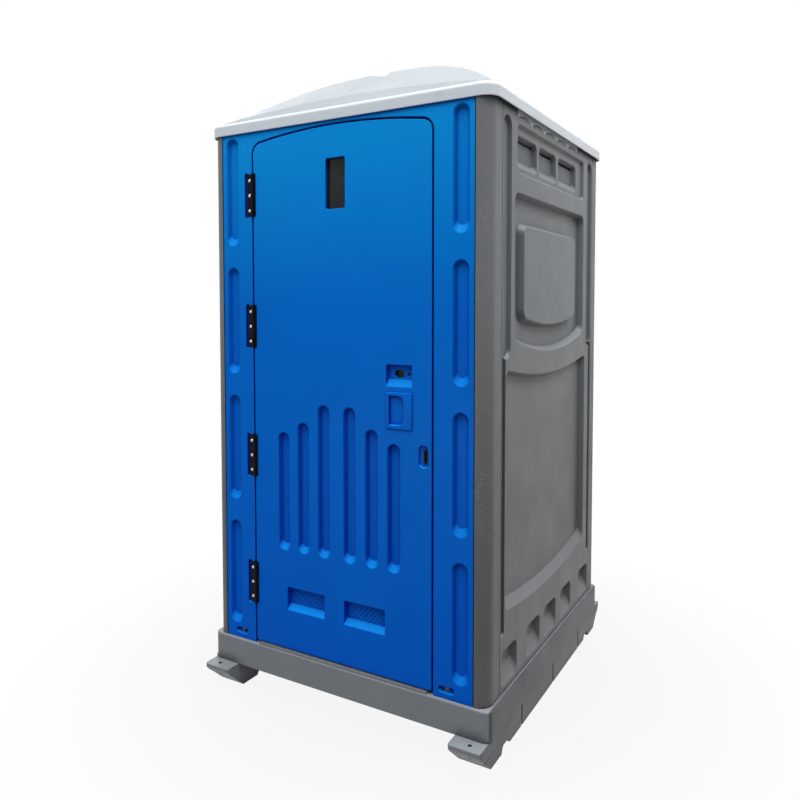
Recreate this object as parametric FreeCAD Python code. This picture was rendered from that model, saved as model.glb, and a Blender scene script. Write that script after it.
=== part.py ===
import FreeCAD, Part
import math
import os

V = FreeCAD.Vector

# Portable toilet cabin in millimetres. X runs to the right seen from the front, Y into the depth and
# Z up from the ground. The door is in the -Y face and hangs on its left side.

# Skids
SKID_HEIGHT = 93.0
SKID_WIDTH = 113.0
SKID_INSET = 5.0
SKID_REACH = 61.0
SKID_RELIEF = 8.0
SKID_SOLE = 84.0
SKID_WALL = 14.0
SKID_ROOF = 12.0
SKID_NOTCH = 26.0
SKID_NOTCH_LENGTH = 45.0
SKID_GROOVE = 5.0
SKID_GROOVE_PLACES = (-325.0, 19.0, 357.0)
FOOT_LIP = 10.0
FOOT_NOSE = 20.0
FOOT_RAKE = 89.0
FOOT_CUT = 8.0
FOOT_UNDERCUT_WIDTH = 34.0
FOOT_UNDERCUT_HEIGHT = 52.0
FOOT_HOLE_RADIUS = 7.0
FOOT_HOLE_INSET = 32.0
FOOT_HOLE_SHIFT = 7.5

# Base tray
TRAY_WIDTH = 1150.0
TRAY_DEPTH = 1256.0
TRAY_HEIGHT = 102.0
TRAY_SKIN = 6.0
TRAY_CORNER = 26.0
TRAY_EDGE = 7.0
TRAY_RIB = 6.0
DECK_THICKNESS = 10.0
FOOT_RAIL = 12.0
TREAD_MARGIN = 76.0
TREAD_WALL_GAP = 230.0
TREAD_PUMP_GAP = 75.0
TREAD_WIDTH = 30.0
TREAD_PITCH = 62.0
TREAD_HEIGHT = 3.0
TREAD_COUNT = 9
CURB_TO_DOOR = 27.0
CURB_TO_POST = 35.0
CURB_DEPTH = 22.0
CURB_HEIGHT = 48.0
SILL_GAP = 1.0
SILL_HEIGHT = 6.0
SILL_RIB = 2.0
SILL_SETBACK = 2.0
SILL_DEPTH = 70.0
SILL_RIBS = (3.0, 10.0, 17.0, 24.0, 31.0, 52.0, 59.0)

# Shell
WALL_SETBACK_X = 11.0
WALL_SETBACK_Y = 9.0
WALL_HEIGHT = 1935.0
WALL_THICKNESS = 20.0
SIDE_THICKNESS = 34.0
POST_FRONT_WIDTH = 49.0
POST_SIDE_WIDTH = 98.0
POST_PROUD = 2.0
POST_ROUND = 46.0
POST_SKIN = 4.0
POST_EDGE = 1.2
SHADOW_GAP = 1.5
FLANGE_THICKNESS = 6.0
FLANGE_OVERLAP = 30.0
SEAM = 0.3
RIVET_RADIUS = 3.0
RIVET_GRIP = 18.0
RIVET_HEAD_RADIUS = 7.0
RIVET_HEAD_HEIGHT = 3.0
SHELL_RIVET_COUNT = 5
SHELL_RIVET_LOW = 135.0
SHELL_RIVET_HIGH = 200.0

# Side walls
WALL_GROOVE_MARGIN = 8.0
WALL_GROOVE_WIDTH = 73.0
WALL_GROOVE_NARROW = 29.0
WALL_GROOVE_DEPTH = 12.0
WALL_GROOVE_TOP = 59.0
WALL_GROOVE_WAIST = 1095.0
WALL_GROOVE_FOOT = 190.0
LOUVRE_FRONT = 131.0
LOUVRE_REAR = 134.0
LOUVRE_TOP = 68.0
LOUVRE_BOX_HEIGHT = 161.0
LOUVRE_BOX_DEPTH = 10.0
# Start and width of each louvre pocket, from the front end of their sunk band
LOUVRES = ((19.0, 199.5), (242.0, 193.5), (462.0, 232.0))
LOUVRE_RISE = 23.0
LOUVRE_HEIGHT = 105.0
LOUVRE_DEPTH = 16.0
LOUVRE_SLOPE = 10.0
LOUVRE_LEDGE = 24.0
LOUVRE_SLOT = 8.0
UPPER_FRONT = 112.0
UPPER_REAR = 127.0
UPPER_TOP = 293.0
UPPER_FOOT = 1157.0
UPPER_BOW = 54.0
UPPER_DEPTH = 24.0
UPPER_SLOPE = 14.0
ISLAND_FRONT = 78.0
ISLAND_REAR = 107.0
ISLAND_TOP = 93.0
ISLAND_FOOT = 60.0
ISLAND_BOW = 30.0
ISLAND_SLOPE = 13.0
LOWER_FRONT = 43.0
LOWER_REAR = 92.0
LOWER_TOP = 1062.0
LOWER_TOP_BOW = 42.0
LOWER_FOOT = 268.0
LOWER_FOOT_BOW = 35.0
LOWER_DEPTH = 22.0
LOWER_SLOPE = 14.0
LOWER_LEDGE = 34.0
POCKET_PLACES = (-197.0, -8.0, 189.0)
POCKET_WIDTH = 140.0
POCKET_END_INSET = 87.0
POCKET_FOOT = 21.0
POCKET_HEIGHT = 117.0
POCKET_DEPTH = 22.0
POCKET_SLOPE = 14.0
POCKET_LEDGE = 52.0
STRIP_FRONT = 136.0
STRIP_REAR = 220.0
STRIP_DROP = 52.0
STRIP_SPRING = 48.0
STRIP_CROWN = 36.0
STRIP_LEG = 15.0
STRIP_GAP = 1.0
STRIP_HUMP_GAP = 2.0
STRIP_THICKNESS = 12.0
STRIP_RECESS = 2.0
STRIP_ARCHES = 5

# Rear wall
REAR_FIELD_DEPTH = 12.0
REAR_FIELD_WIDTH = 220.0
REAR_FIELD_GAP = 40.0
REAR_FIELD_MARGIN = 45.0
REAR_FIELD_FOOT = 105.0
REAR_FIELD_WAIST = 930.0
REAR_FIELD_BREAK = 70.0
REAR_FIELD_TOP = 150.0
REAR_SLOT_PITCH = 330.0
REAR_SLOT_WIDTH = 160.0
REAR_SLOT_HEIGHT = 20.0
REAR_SLOT_DROP = 90.0

# Roof
RIM_GAP_X = 10.5
RIM_GAP_Y = 1.0
RIM_LAP = 30.0
RIM_RISE = 15.0
RIM_CORNER = 52.0
RIM_EDGE = 13.0
ROOF_SKIN = 4.0
ROOF_EDGE = 28.5
ROOF_SEAT = 10.0
CREASE_INSET = 68.0
FASCIA_SLOPE = 1.0
BLOCK_SLOPE = 0.62
# Half profiles across the roof: share of the half width and height above the rim. The right half of the
# raised fields is the fuller one.
CREASE_ARCH = ((0.0, 48.0), (0.364, 43.0), (0.727, 27.0), (0.909, 13.0), (1.0, -2.0))
BLOCK_ARCH = (
    (0.0, 167.0),
    (0.182, 165.0),
    (0.364, 157.0),
    (0.509, 144.0),
    (0.636, 121.0),
    (0.764, 92.0),
    (0.873, 60.0),
    (0.964, 23.0),
    (1.0, -2.0),
)
BLOCK_RIGHT_ARCH = (
    (0.0, 167.0),
    (0.182, 168.0),
    (0.364, 165.0),
    (0.509, 153.0),
    (0.636, 129.0),
    (0.764, 96.0),
    (0.873, 61.0),
    (0.964, 23.0),
    (1.0, -2.0),
)
TROUGH_X = 30.0
TROUGH_WIDTH = 84.0
TROUGH_LEFT_DEPTH = 1.0
TROUGH_RIGHT_DEPTH = 15.0

# Door and its frame
DOOR_WIDTH = 734.0
DOOR_GAP = 7.0
DOOR_LIFT = 12.0
DOOR_HEADER = 41.0
DOOR_ARCH = 32.0
DOOR_THICKNESS = 28.0
DOOR_CORNER = 30.0
DOOR_FOOT_CORNER = 5.0
DOOR_SKIN = 4.0
CORE_EDGE = 20.0
CORE_MARGIN = 12.0
STOP_OVERLAP = 14.0
STOP_THICKNESS = 8.0
STOP_GAP = 2.0
STOP_SPREAD = 16.0
FRAME_GROOVE_INSET = 47.0
FRAME_GROOVE_WIDTH = 56.0
FRAME_GROOVE_HEIGHT = 398.0
FRAME_GROOVE_DEPTH = 14.0
FRAME_GROOVE_FIRST = 255.0
FRAME_GROOVE_PITCH = 479.5
FRAME_GROOVE_COUNT = 4
# Share of the way from the doorway to the post at which each frame bolt sits
FRAME_BOLT_LEFT = 0.475
FRAME_BOLT_RIGHT = 0.333
FRAME_BOLT_RISE = 29.0
FRAME_BOLT_RADIUS = 5.0
FRAME_BOLT_HEAD_RADIUS = 8.5
FRAME_BOLT_POCKET = 14.0
FRAME_BOLT_BLIND = 4.0

# Flutes, vents and window in the door
FLUTE_MIDDLE = -4.0
FLUTE_WIDTH = 50.0
FLUTE_DEPTH = 16.0
FLUTE_FOOT = 364.0
FLUTES = ((54.0, 909.0), (143.0, 840.0), (230.0, 799.0))
VENT_CENTRES = (-139.5, 108.5)
VENT_WIDTH = 166.0
VENT_HEIGHT = 86.0
VENT_RISE = 144.0
VENT_DEPTH = 20.0
VENT_LEDGE = 19.0
VENT_ROWS = 6
VENT_ROW_MARGIN = 7.0
VENT_ROW_PITCH = 10.2
VENT_COLUMNS = 9
VENT_PITCH = 17.5
VENT_HOLE_RADIUS = 2.8
WINDOW_X = -4.0
WINDOW_RISE = 1677.0
WINDOW_WIDTH = 80.0
WINDOW_HEIGHT = 174.0
PANE_MARGIN = 8.0
PANE_THICKNESS = 4.0
PANE_SETBACK = 14.0
WINDOW_FLANGE = 12.0

# Hinges
HINGE_COUNT = 4
HINGE_FIRST = 218.0
HINGE_PITCH = 481.7
HINGE_HEIGHT = 156.0
HINGE_PROUD = 2.0
KNUCKLE_RADIUS = 6.0
KNUCKLE_GAP = 0.4
KNUCKLE_CLEARANCE = 1.0
PIN_RADIUS = 3.0
PIN_CLEARANCE = 0.2
LEAF_THICKNESS = 4.0
LEAF_WIDTH = 22.0
LEAF_POCKET = 12.0
LEAF_POCKET_DEPTH = 12.0
LEAF_STRIP = 11.0
HINGE_LEAF_GAP = 3.5
PIN_HEAD_RADIUS = 4.5
PIN_HEAD = 2.0
FLAP_THICKNESS = 2.5
FLAP_DEPTH = 22.0
HINGE_RIVET_INSET = 10.0
HINGE_RIVET_STEP = 55.0
HINGE_RIVET_RADIUS = 3.0
HINGE_RIVET_LENGTH = 20.0
FLAP_RIVET_RADIUS = 2.0
FLAP_RIVET_LENGTH = 14.0
FLAP_RIVET_SETBACK = 15.0

# Latch and pulls
LATCH_INSET = 126.0
LATCH_RISE = 1032.0
LATCH_RECESS_WIDTH = 98.0
LATCH_RECESS_HEIGHT = 73.0
LATCH_RECESS_DEPTH = 15.0
LATCH_RECESS_LEDGE = 24.0
LATCH_RECESS_SHIFT_X = 5.0
LATCH_RECESS_SHIFT_Z = -5.5
SIGHT_WIDTH = 37.0
SIGHT_HEIGHT = 26.0
RELEASE_OFFSET = 36.0
RELEASE_RADIUS = 6.0
RELEASE_SETBACK = 18.0
CASE_WIDTH = 166.0
CASE_HEIGHT = 92.0
CASE_DEPTH = 28.0
CASE_SKIN = 3.0
CASE_SHIFT = 26.0
CASE_SCREW_MARGIN = 12.0
SCREW_RADIUS = 2.5
SCREW_GRIP = 8.0
BOLT_THROW = 22.0
BOLT_WIDTH = 20.0
BOLT_THICKNESS = 10.0
BOLT_LENGTH = 80.0
BOLT_SETBACK = 12.0
BOLT_TAIL = 82.0
SLIDE_GAP = 0.3
DISC_RADIUS = 20.0
DISC_THICKNESS = 3.0
SPINDLE_RADIUS = 9.0
KNOB_RADIUS = 20.0
KNOB_HEIGHT = 8.0
WING_LENGTH = 52.0
WING_WIDTH = 12.0
WING_HEIGHT = 16.0
KEEPER_INSET = 9.0
KEEPER_HEIGHT = 88.0
KEEPER_SPARE = 14.0
KEEPER_WALL = 5.0
KEEPER_PLATE = 2.0
KEEPER_DEPTH = 18.0
KEEPER_SCREW_STEP = 34.0
KEEPER_SCREW_GRIP = 16.0
PULL_WIDTH = 98.0
PULL_HEIGHT = 122.0
PULL_PROUD = 4.0
PULL_DROP = 121.0
PULL_SHIFT = 6.0
CUP_WIDTH = 62.0
CUP_HEIGHT = 105.0
CUP_DEPTH = 23.0
CUP_SKIN = 3.0
CUP_SHIFT = -9.0
CUP_DROP = 1.5
CUP_LEDGE = 30.0
HASP_INSET = 30.0
HASP_DROP = 264.5
HASP_WIDTH = 36.0
HASP_HEIGHT = 75.0
HASP_DEPTH = 7.0
HASP_SLOT_WIDTH = 16.0
HASP_SLOT_HEIGHT = 51.0
HASP_SLOT_SHIFT = 6.0
HASP_SLOT_DEPTH = 18.0
HANDLE_INSET = 67.0
HANDLE_RISE = 793.0
HANDLE_LENGTH = 160.0
HANDLE_STAND = 42.0
HANDLE_RADIUS = 8.0
HOOK_RISE = 1445.0
HOOK_REACH = 40.0
HOOK_RADIUS = 5.0
HOOK_SCREW_STEP = 12.0

# Waste tank and seat
TANK_SIDE_GAP = 12.0
TANK_REAR_GAP = 23.0
TANK_DEPTH = 486.0
TANK_HEIGHT = 410.0
TANK_SKIN = 5.0
TANK_TOE = 40.0
TANK_NOSE = 60.0
TANK_EDGE = 18.0
SEAT_SETBACK = 210.0
SEAT_HALF_WIDTH = 185.0
SEAT_HALF_LENGTH = 190.0
SEAT_THICKNESS = 20.0
SEAT_LIFT = 16.0
SEAT_HOLE_WIDTH = 116.0
SEAT_HOLE_LENGTH = 130.0
SEAT_HINGE_SETBACK = 25.0
SEAT_HINGE_LIFT = 35.0
LID_GAP = 3.0
LID_THICKNESS = 12.0
LID_OPEN = 95.0
ROD_RADIUS = 6.0
ROD_CLEARANCE = 0.3
EYE_RADIUS = 10.0
RING_EYE_X = 84.0
LID_EYE_X = 56.0
EYE_WIDTH = 24.0
SEAT_POST_X = 106.0
SEAT_POST_WIDTH = 14.0
CHUTE_FLANGE_WIDTH = 150.0
CHUTE_FLANGE_LENGTH = 165.0
CHUTE_FLANGE_THICKNESS = 6.0
CHUTE_WIDTH = 108.0
CHUTE_LENGTH = 128.0
CHUTE_TAPER = 26.0
CHUTE_DROP = 130.0
CHUTE_SKIN = 4.0
CHUTE_HOLE_GAP = 8.0

# Vent pipe
PIPE_SIDE_GAP = 100.0
PIPE_REAR_GAP = 94.0
PIPE_RADIUS = 45.0
PIPE_SKIN = 3.0
PIPE_OVER_RIM = 77.0
PIPE_DIP = 60.0
PIPE_ROOF_GAP = 1.0
HOOD_OVERHANG = 14.0
HOOD_GAP = 22.0
HOOD_HEIGHT = 18.0

# Fittings on the side walls
HOSE_RADIUS = 14.0
HOSE_SKIN = 3.0
HOSE_DIP = 30.0
HOSE_BEND = 30.0
HOSE_OVER_TANK = 50.0
URINAL_Y = -50.0
URINAL_WIDTH = 260.0
URINAL_REACH = 210.0
URINAL_RISE = 565.0
URINAL_BOWL_HEIGHT = 100.0
URINAL_BACK_HEIGHT = 420.0
URINAL_BACK_WIDTH = 280.0
URINAL_BACK_THICKNESS = 14.0
URINAL_FUNNEL = 70.0
URINAL_SKIN = 8.0
URINAL_DRAIN_X = 50.0
URINAL_DROP_SETBACK = 70.0
WATER_TANK_WIDTH = 250.0
WATER_TANK_DEPTH = 220.0
WATER_TANK_Y = -220.0
WATER_TANK_SKIN = 4.0
BASIN_RISE = 745.0
BASIN_WIDTH = 290.0
BASIN_FRONT = -370.0
BASIN_REAR = 0.0
BASIN_HEIGHT = 60.0
BASIN_SPLASH = 100.0
BASIN_DRAIN_X = 165.0
BASIN_DRAIN_Y = -75.0
BASIN_DROP_SETBACK = 60.0
TAP_SETBACK = 40.0
TAP_RADIUS = 8.0
TAP_HEIGHT = 120.0
TAP_REACH = 110.0
TAP_DROP = 40.0
MIRROR_Y = -190.0
MIRROR_WIDTH = 280.0
MIRROR_RISE = 1225.0
MIRROR_HEIGHT = 380.0
MIRROR_BORDER = 9.0
MIRROR_TRAY = 8.0
MIRROR_GLASS = 4.0
ROLL_Y = 250.0
ROLL_RISE = 705.0
ROLL_STAND = 74.0
ROLL_RADIUS = 54.0
ROLL_BORE = 19.0
ROLL_WIDTH = 100.0
ROLL_CLEARANCE = 0.4
ROLL_ARM_GAP = 8.0
PUMP_TANK_GAP = 79.0
PUMP_Y = -160.0
PUMP_SPOUT = 19.0
PUMP_BASE = 9.0
PUMP_BARREL_RADIUS = 26.0
PUMP_BARREL_HEIGHT = 27.0
PEDAL_HINGE_Y = -240.0
PEDAL_HINGE_LIFT = 30.0
PEDAL_LENGTH = 136.0
PEDAL_WIDTH = 76.0
PEDAL_THICKNESS = 8.0
PEDAL_REST = 14.0
PEDAL_PIN_RADIUS = 4.0
PEDAL_CLEARANCE = 0.3

# Skid bolts
SKID_BOLT_MIDDLE = 190.0
SKID_BOLT_END = 68.0
SKID_POCKETS = ((-430.0, -220.0), (-160.0, 160.0), (220.0, 430.0))
SKID_BOLT_RADIUS = 6.0
SKID_BOLT_HEAD_RADIUS = 11.0
SKID_BOLT_HEAD = 8.0
SKID_BOLT_SINK = 40.0

# Places that follow from the sizes
TRAY_BOTTOM = SKID_HEIGHT
TRAY_TOP = TRAY_BOTTOM + TRAY_HEIGHT
SKID_OUT = TRAY_WIDTH / 2 - SKID_INSET
SKID_IN = SKID_OUT - SKID_WIDTH
SKID_MIDDLE = (SKID_OUT + SKID_IN) / 2
SKID_TIP = TRAY_DEPTH / 2 + SKID_REACH
FOOT_HOLE_X = SKID_MIDDLE + FOOT_HOLE_SHIFT
FOOT_HOLE_Y = SKID_TIP - FOOT_HOLE_INSET
SKID_BOLT_FAR = TRAY_DEPTH / 2 - SKID_BOLT_END
SKID_BOLT_PLACES = (-SKID_BOLT_FAR, -SKID_BOLT_MIDDLE, SKID_BOLT_MIDDLE, SKID_BOLT_FAR)
SKID_BOLTS = tuple((side * SKID_MIDDLE, y) for side in (-1, 1) for y in SKID_BOLT_PLACES)
BODY_X = TRAY_WIDTH / 2 - WALL_SETBACK_X
BODY_Y = TRAY_DEPTH / 2 - WALL_SETBACK_Y
INNER_X = BODY_X - SIDE_THICKNESS
INNER_Y = BODY_Y - WALL_THICKNESS
FLANGE_X = INNER_X - SEAM - FLANGE_THICKNESS
FLANGE_Y = INNER_Y - SEAM - FLANGE_THICKNESS
WALL_TOP = TRAY_TOP + WALL_HEIGHT
FRAME_END = BODY_X - POST_FRONT_WIDTH
WALL_END = BODY_Y - POST_SIDE_WIDTH
RIM_X = BODY_X + RIM_GAP_X + ROOF_SKIN
RIM_Y = BODY_Y + POST_PROUD + RIM_GAP_Y + ROOF_SKIN
RIM_BOTTOM = WALL_TOP - RIM_LAP
RIM_TOP = WALL_TOP + RIM_RISE
ROOF_CREST = RIM_TOP + max(rise for share, rise in BLOCK_ARCH + BLOCK_RIGHT_ARCH)
CREASE_Y = RIM_Y - CREASE_INSET
DOOR_X = DOOR_WIDTH / 2
DOOR_FACE = -BODY_Y
DOOR_BACK = DOOR_FACE + DOOR_THICKNESS
DOOR_BOTTOM = TRAY_TOP + DOOR_LIFT
OPENING_X = DOOR_X + DOOR_GAP
OPENING_CROWN = WALL_TOP - DOOR_HEADER
OPENING_SHOULDER = OPENING_CROWN - DOOR_ARCH
STOP_FACE = DOOR_BACK + STOP_GAP
STOP_BACK = STOP_FACE + STOP_THICKNESS
STOP_HOLE_X = DOOR_X - STOP_OVERLAP
HINGE_X = -(DOOR_X + DOOR_GAP / 2)
HINGE_Y = DOOR_FACE - HINGE_PROUD
HINGE_LEVELS = tuple(DOOR_BOTTOM + HINGE_FIRST + HINGE_PITCH * step for step in range(HINGE_COUNT))
LEAF_LEFT = -OPENING_X - LEAF_WIDTH
HINGE_RIVET_X = LEAF_LEFT + HINGE_RIVET_INSET
RIVET_STEPS = (-HINGE_RIVET_STEP, 0.0, HINGE_RIVET_STEP)
SHELL_RIVET_PITCH = (WALL_HEIGHT - SHELL_RIVET_LOW - SHELL_RIVET_HIGH) / (SHELL_RIVET_COUNT - 1)
SHELL_RIVET_LEVELS = tuple(
    TRAY_TOP + SHELL_RIVET_LOW + SHELL_RIVET_PITCH * step for step in range(SHELL_RIVET_COUNT)
)
SHELL_RIVET_X = FRAME_END - FLANGE_OVERLAP / 2
SHELL_RIVET_Y = WALL_END - FLANGE_OVERLAP / 2
FRAME_BOLT_Z = TRAY_TOP + FRAME_BOLT_RISE
FRAME_BOLTS = (
    (-OPENING_X - FRAME_BOLT_LEFT * (FRAME_END - OPENING_X), FRAME_BOLT_Z),
    (OPENING_X + FRAME_BOLT_RIGHT * (FRAME_END - OPENING_X), FRAME_BOLT_Z),
)
CURB_BACK = -INNER_Y + SEAM + CURB_DEPTH
WINDOW_Z = DOOR_BOTTOM + WINDOW_RISE
LATCH_X = DOOR_X - LATCH_INSET
LATCH_Z = DOOR_BOTTOM + LATCH_RISE
RELEASE_X = LATCH_X + RELEASE_OFFSET
PULL_X = LATCH_X + PULL_SHIFT
PULL_Z = LATCH_Z - PULL_DROP
CUP_X = PULL_X + CUP_SHIFT
CUP_Z = PULL_Z - CUP_DROP
HASP_X = DOOR_X - HASP_INSET
HASP_Z = LATCH_Z - HASP_DROP
HASP_BACK = DOOR_FACE + HASP_SLOT_DEPTH
CASE_X = LATCH_X + CASE_SHIFT
CASE_END = DOOR_BACK + CASE_DEPTH
CASE_SCREW_X = CASE_WIDTH / 2 - CASE_SCREW_MARGIN
CASE_SCREW_Z = CASE_HEIGHT / 2 - CASE_SCREW_MARGIN
CASE_SCREWS = tuple(
    (CASE_X + sx * CASE_SCREW_X, LATCH_Z + sz * CASE_SCREW_Z) for sx in (-1, 1) for sz in (-1, 1)
)
BOLT_Y0 = DOOR_BACK + BOLT_SETBACK
BOLT_Y1 = BOLT_Y0 + BOLT_THICKNESS
CASE_RIGHT = CASE_X + CASE_WIDTH / 2
BOLT_TIP = CASE_RIGHT - BOLT_TAIL + BOLT_LENGTH
KEEPER_X = DOOR_X - STOP_OVERLAP + KEEPER_INSET
KEEPER_END = BOLT_TIP + BOLT_THROW + KEEPER_SPARE + KEEPER_WALL
KEEPER_SCREW_X = KEEPER_END - 6.0
KEEPER_SCREWS = tuple((KEEPER_SCREW_X, LATCH_Z + sign * KEEPER_SCREW_STEP) for sign in (-1, 1))
HANDLE_X = DOOR_X - HANDLE_INSET
HANDLE_LEVELS = (DOOR_BOTTOM + HANDLE_RISE, DOOR_BOTTOM + HANDLE_RISE + HANDLE_LENGTH)
HANDLE_SCREWS = tuple((HANDLE_X, z) for z in HANDLE_LEVELS)
HOOK_Z = DOOR_BOTTOM + HOOK_RISE
HOOK_SCREWS = ((WINDOW_X, HOOK_Z - HOOK_SCREW_STEP), (WINDOW_X, HOOK_Z + HOOK_SCREW_STEP))
TANK_X = INNER_X - TANK_SIDE_GAP
TANK_BACK = INNER_Y - TANK_REAR_GAP
TANK_FRONT = TANK_BACK - TANK_DEPTH
TANK_TOP = TRAY_TOP + TANK_HEIGHT
SEAT_Y = TANK_FRONT + SEAT_SETBACK
SEAT_HINGE_Y = SEAT_Y + SEAT_HALF_LENGTH + SEAT_HINGE_SETBACK
SEAT_HINGE_Z = TANK_TOP + SEAT_HINGE_LIFT
PIPE_X = -INNER_X + PIPE_SIDE_GAP
PIPE_Y = INNER_Y - PIPE_REAR_GAP
PIPE_TOP = RIM_TOP + PIPE_OVER_RIM
URINAL_Z = TRAY_TOP + URINAL_RISE
URINAL_DROP_Y = TANK_FRONT + URINAL_DROP_SETBACK
BASIN_BOTTOM = TRAY_TOP + BASIN_RISE
BASIN_TOP = BASIN_BOTTOM + BASIN_HEIGHT
BASIN_DROP_Y = TANK_FRONT + BASIN_DROP_SETBACK
TAP_X = INNER_X - TAP_SETBACK
MIRROR_Z = TRAY_TOP + MIRROR_RISE + MIRROR_HEIGHT / 2
ROLL_X = -INNER_X + ROLL_STAND
ROLL_Z = TRAY_TOP + ROLL_RISE
PUMP_X = INNER_X - WATER_TANK_WIDTH - PUMP_TANK_GAP
PUMP_Z = TRAY_TOP + PUMP_SPOUT
PEDAL_HINGE_Z = TRAY_TOP + PEDAL_HINGE_LIFT
TREAD_LEFT = -INNER_X + TREAD_WALL_GAP
TREAD_RIGHT = PUMP_X - TREAD_PUMP_GAP

PARTS = {}


def place(plane, u, v, w):
    """Point in a drawing plane: front is (x, z) at y = w, side (y, z) at x = w, plan (x, y) at z = w."""
    if plane == "front":
        return V(u, w, v)
    if plane == "side":
        return V(w, u, v)
    return V(u, v, w)


def along(plane, length):
    return place(plane, 0, 0, length)


def box(x0, x1, y0, y1, z0, z1):
    return Part.makeBox(x1 - x0, y1 - y0, z1 - z0, V(x0, y0, z0))


def polygon(plane, points, w):
    corners = [place(plane, u, v, w) for u, v in points]
    return Part.makePolygon(corners + corners[:1])


def rounded_wire(plane, u0, u1, v0, v1, radius, w):
    """Rectangle with four rounded corners."""
    radius = min(radius, (u1 - u0) / 2 - 0.05, (v1 - v0) / 2 - 0.05)
    edges = []
    corners = (
        (u1 - radius, v0 + radius, -90),
        (u1 - radius, v1 - radius, 0),
        (u0 + radius, v1 - radius, 90),
        (u0 + radius, v0 + radius, 180),
    )
    ends = []
    for cu, cv, start in corners:
        arc = []
        for step in (0, 45, 90):
            angle = math.radians(start + step)
            arc.append(place(plane, cu + radius * math.cos(angle), cv + radius * math.sin(angle), w))
        ends.append(arc)
    for index, arc in enumerate(ends):
        edges.append(Part.Arc(*arc).toShape())
        following = ends[(index + 1) % 4]
        edges.append(Part.makeLine(arc[2], following[0]))
    return Part.Wire(edges)


def arched_wire(plane, u0, u1, low, low_middle, high, high_middle, radius, w):
    """Four-sided outline whose lower and upper sides may bow, with rounded corners."""
    half = (u1 - u0) / 2
    middle = (u0 + u1) / 2

    def bowed(u, level, crown):
        rise = crown - level
        if abs(rise) < 0.01:
            return level
        bend = (half * half + rise * rise) / (2 * abs(rise))
        drop = bend - math.sqrt(bend * bend - (u - middle) ** 2)
        return crown - math.copysign(drop, rise)

    def side(first, last, level, crown):
        start = place(plane, first, bowed(first, level, crown), w)
        end = place(plane, last, bowed(last, level, crown), w)
        if abs(crown - level) < 0.01:
            return start, end, Part.makeLine(start, end)
        return start, end, Part.Arc(start, place(plane, middle, crown, w), end).toShape()

    top_start, top_end, top = side(u0 + radius, u1 - radius, high, high_middle)
    low_start, low_end, bottom = side(u1 - radius, u0 + radius, low, low_middle)
    stops = (
        (place(plane, u0, low + radius, w), place(plane, u0, high - radius, w), top_start, (u0, high)),
        (top_end, place(plane, u1, high - radius, w), None, (u1, high)),
        (place(plane, u1, low + radius, w), low_start, None, (u1, low)),
        (low_end, place(plane, u0, low + radius, w), None, (u0, low)),
    )

    def corner(first, last, at):
        tip = place(plane, at[0], at[1], w)
        middle_point = tip + (first - tip + last - tip) * (1 - math.sqrt(0.5))
        return Part.Arc(first, middle_point, last).toShape()

    left = Part.makeLine(stops[0][0], stops[0][1])
    right = Part.makeLine(stops[1][1], stops[2][0])
    return Part.Wire([
        left,
        corner(stops[0][1], top_start, (u0, high)),
        top,
        corner(top_end, stops[1][1], (u1, high)),
        right,
        corner(stops[2][0], low_start, (u1, low)),
        bottom,
        corner(low_end, stops[3][1], (u0, low)),
    ])


def prism(plane, wire, length):
    return Part.Face(wire).extrude(along(plane, length))


def rounded_block(plane, u0, u1, v0, v1, radius, w0, w1):
    return prism(plane, rounded_wire(plane, u0, u1, v0, v1, radius, w0), w1 - w0)


def arched_block(plane, u0, u1, low, low_middle, high, high_middle, radius, w0, w1):
    return prism(plane, arched_wire(plane, u0, u1, low, low_middle, high, high_middle, radius, w0), w1 - w0)


def dish(plane, u0, u1, v0, v1, radius, face, floor, wall, ledge=None):
    """Sunk field with sloping walls; ledge is the run of its lower wall."""
    lower = wall if ledge is None else ledge
    rim = rounded_wire(plane, u0, u1, v0, v1, radius, face)
    bottom = rounded_wire(plane, u0 + wall, u1 - wall, v0 + lower, v1 - wall, max(radius - wall, 1.0), floor)
    return Part.makeLoft([rim, bottom], True, True)


def arched_dish(plane, span, lows, highs, radius, face, floor, wall, ledge=None):
    """Sunk field with bowed lower and upper sides and sloping walls."""
    lower = wall if ledge is None else ledge
    rim = arched_wire(plane, span[0], span[1], lows[0], lows[1], highs[0], highs[1], radius, face)
    inner_span = (span[0] + wall, span[1] - wall)
    inner_lows = (lows[0] + lower, lows[1] + lower)
    inner_highs = (highs[0] - wall, highs[1] - wall)
    inner_radius = max(radius - wall, 2.0)
    bottom = arched_wire(plane, *inner_span, *inner_lows, *inner_highs, inner_radius, floor)
    return Part.makeLoft([rim, bottom], True, True)


def cylinder(radius, start, end):
    axis = V(*end) - V(*start)
    return Part.makeCylinder(radius, axis.Length, V(*start), axis)


def cone(r0, r1, start, end):
    axis = V(*end) - V(*start)
    return Part.makeCone(r0, r1, axis.Length, V(*start), axis)


def joined(*shapes):
    shapes = list(shapes)
    return shapes[0].fuse(shapes[1:]).removeSplitter() if len(shapes) > 1 else shapes[0]


def mirrored(shape, across="x"):
    return shape.mirror(V(0, 0, 0), V(1, 0, 0) if across == "x" else V(0, 1, 0))


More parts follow.
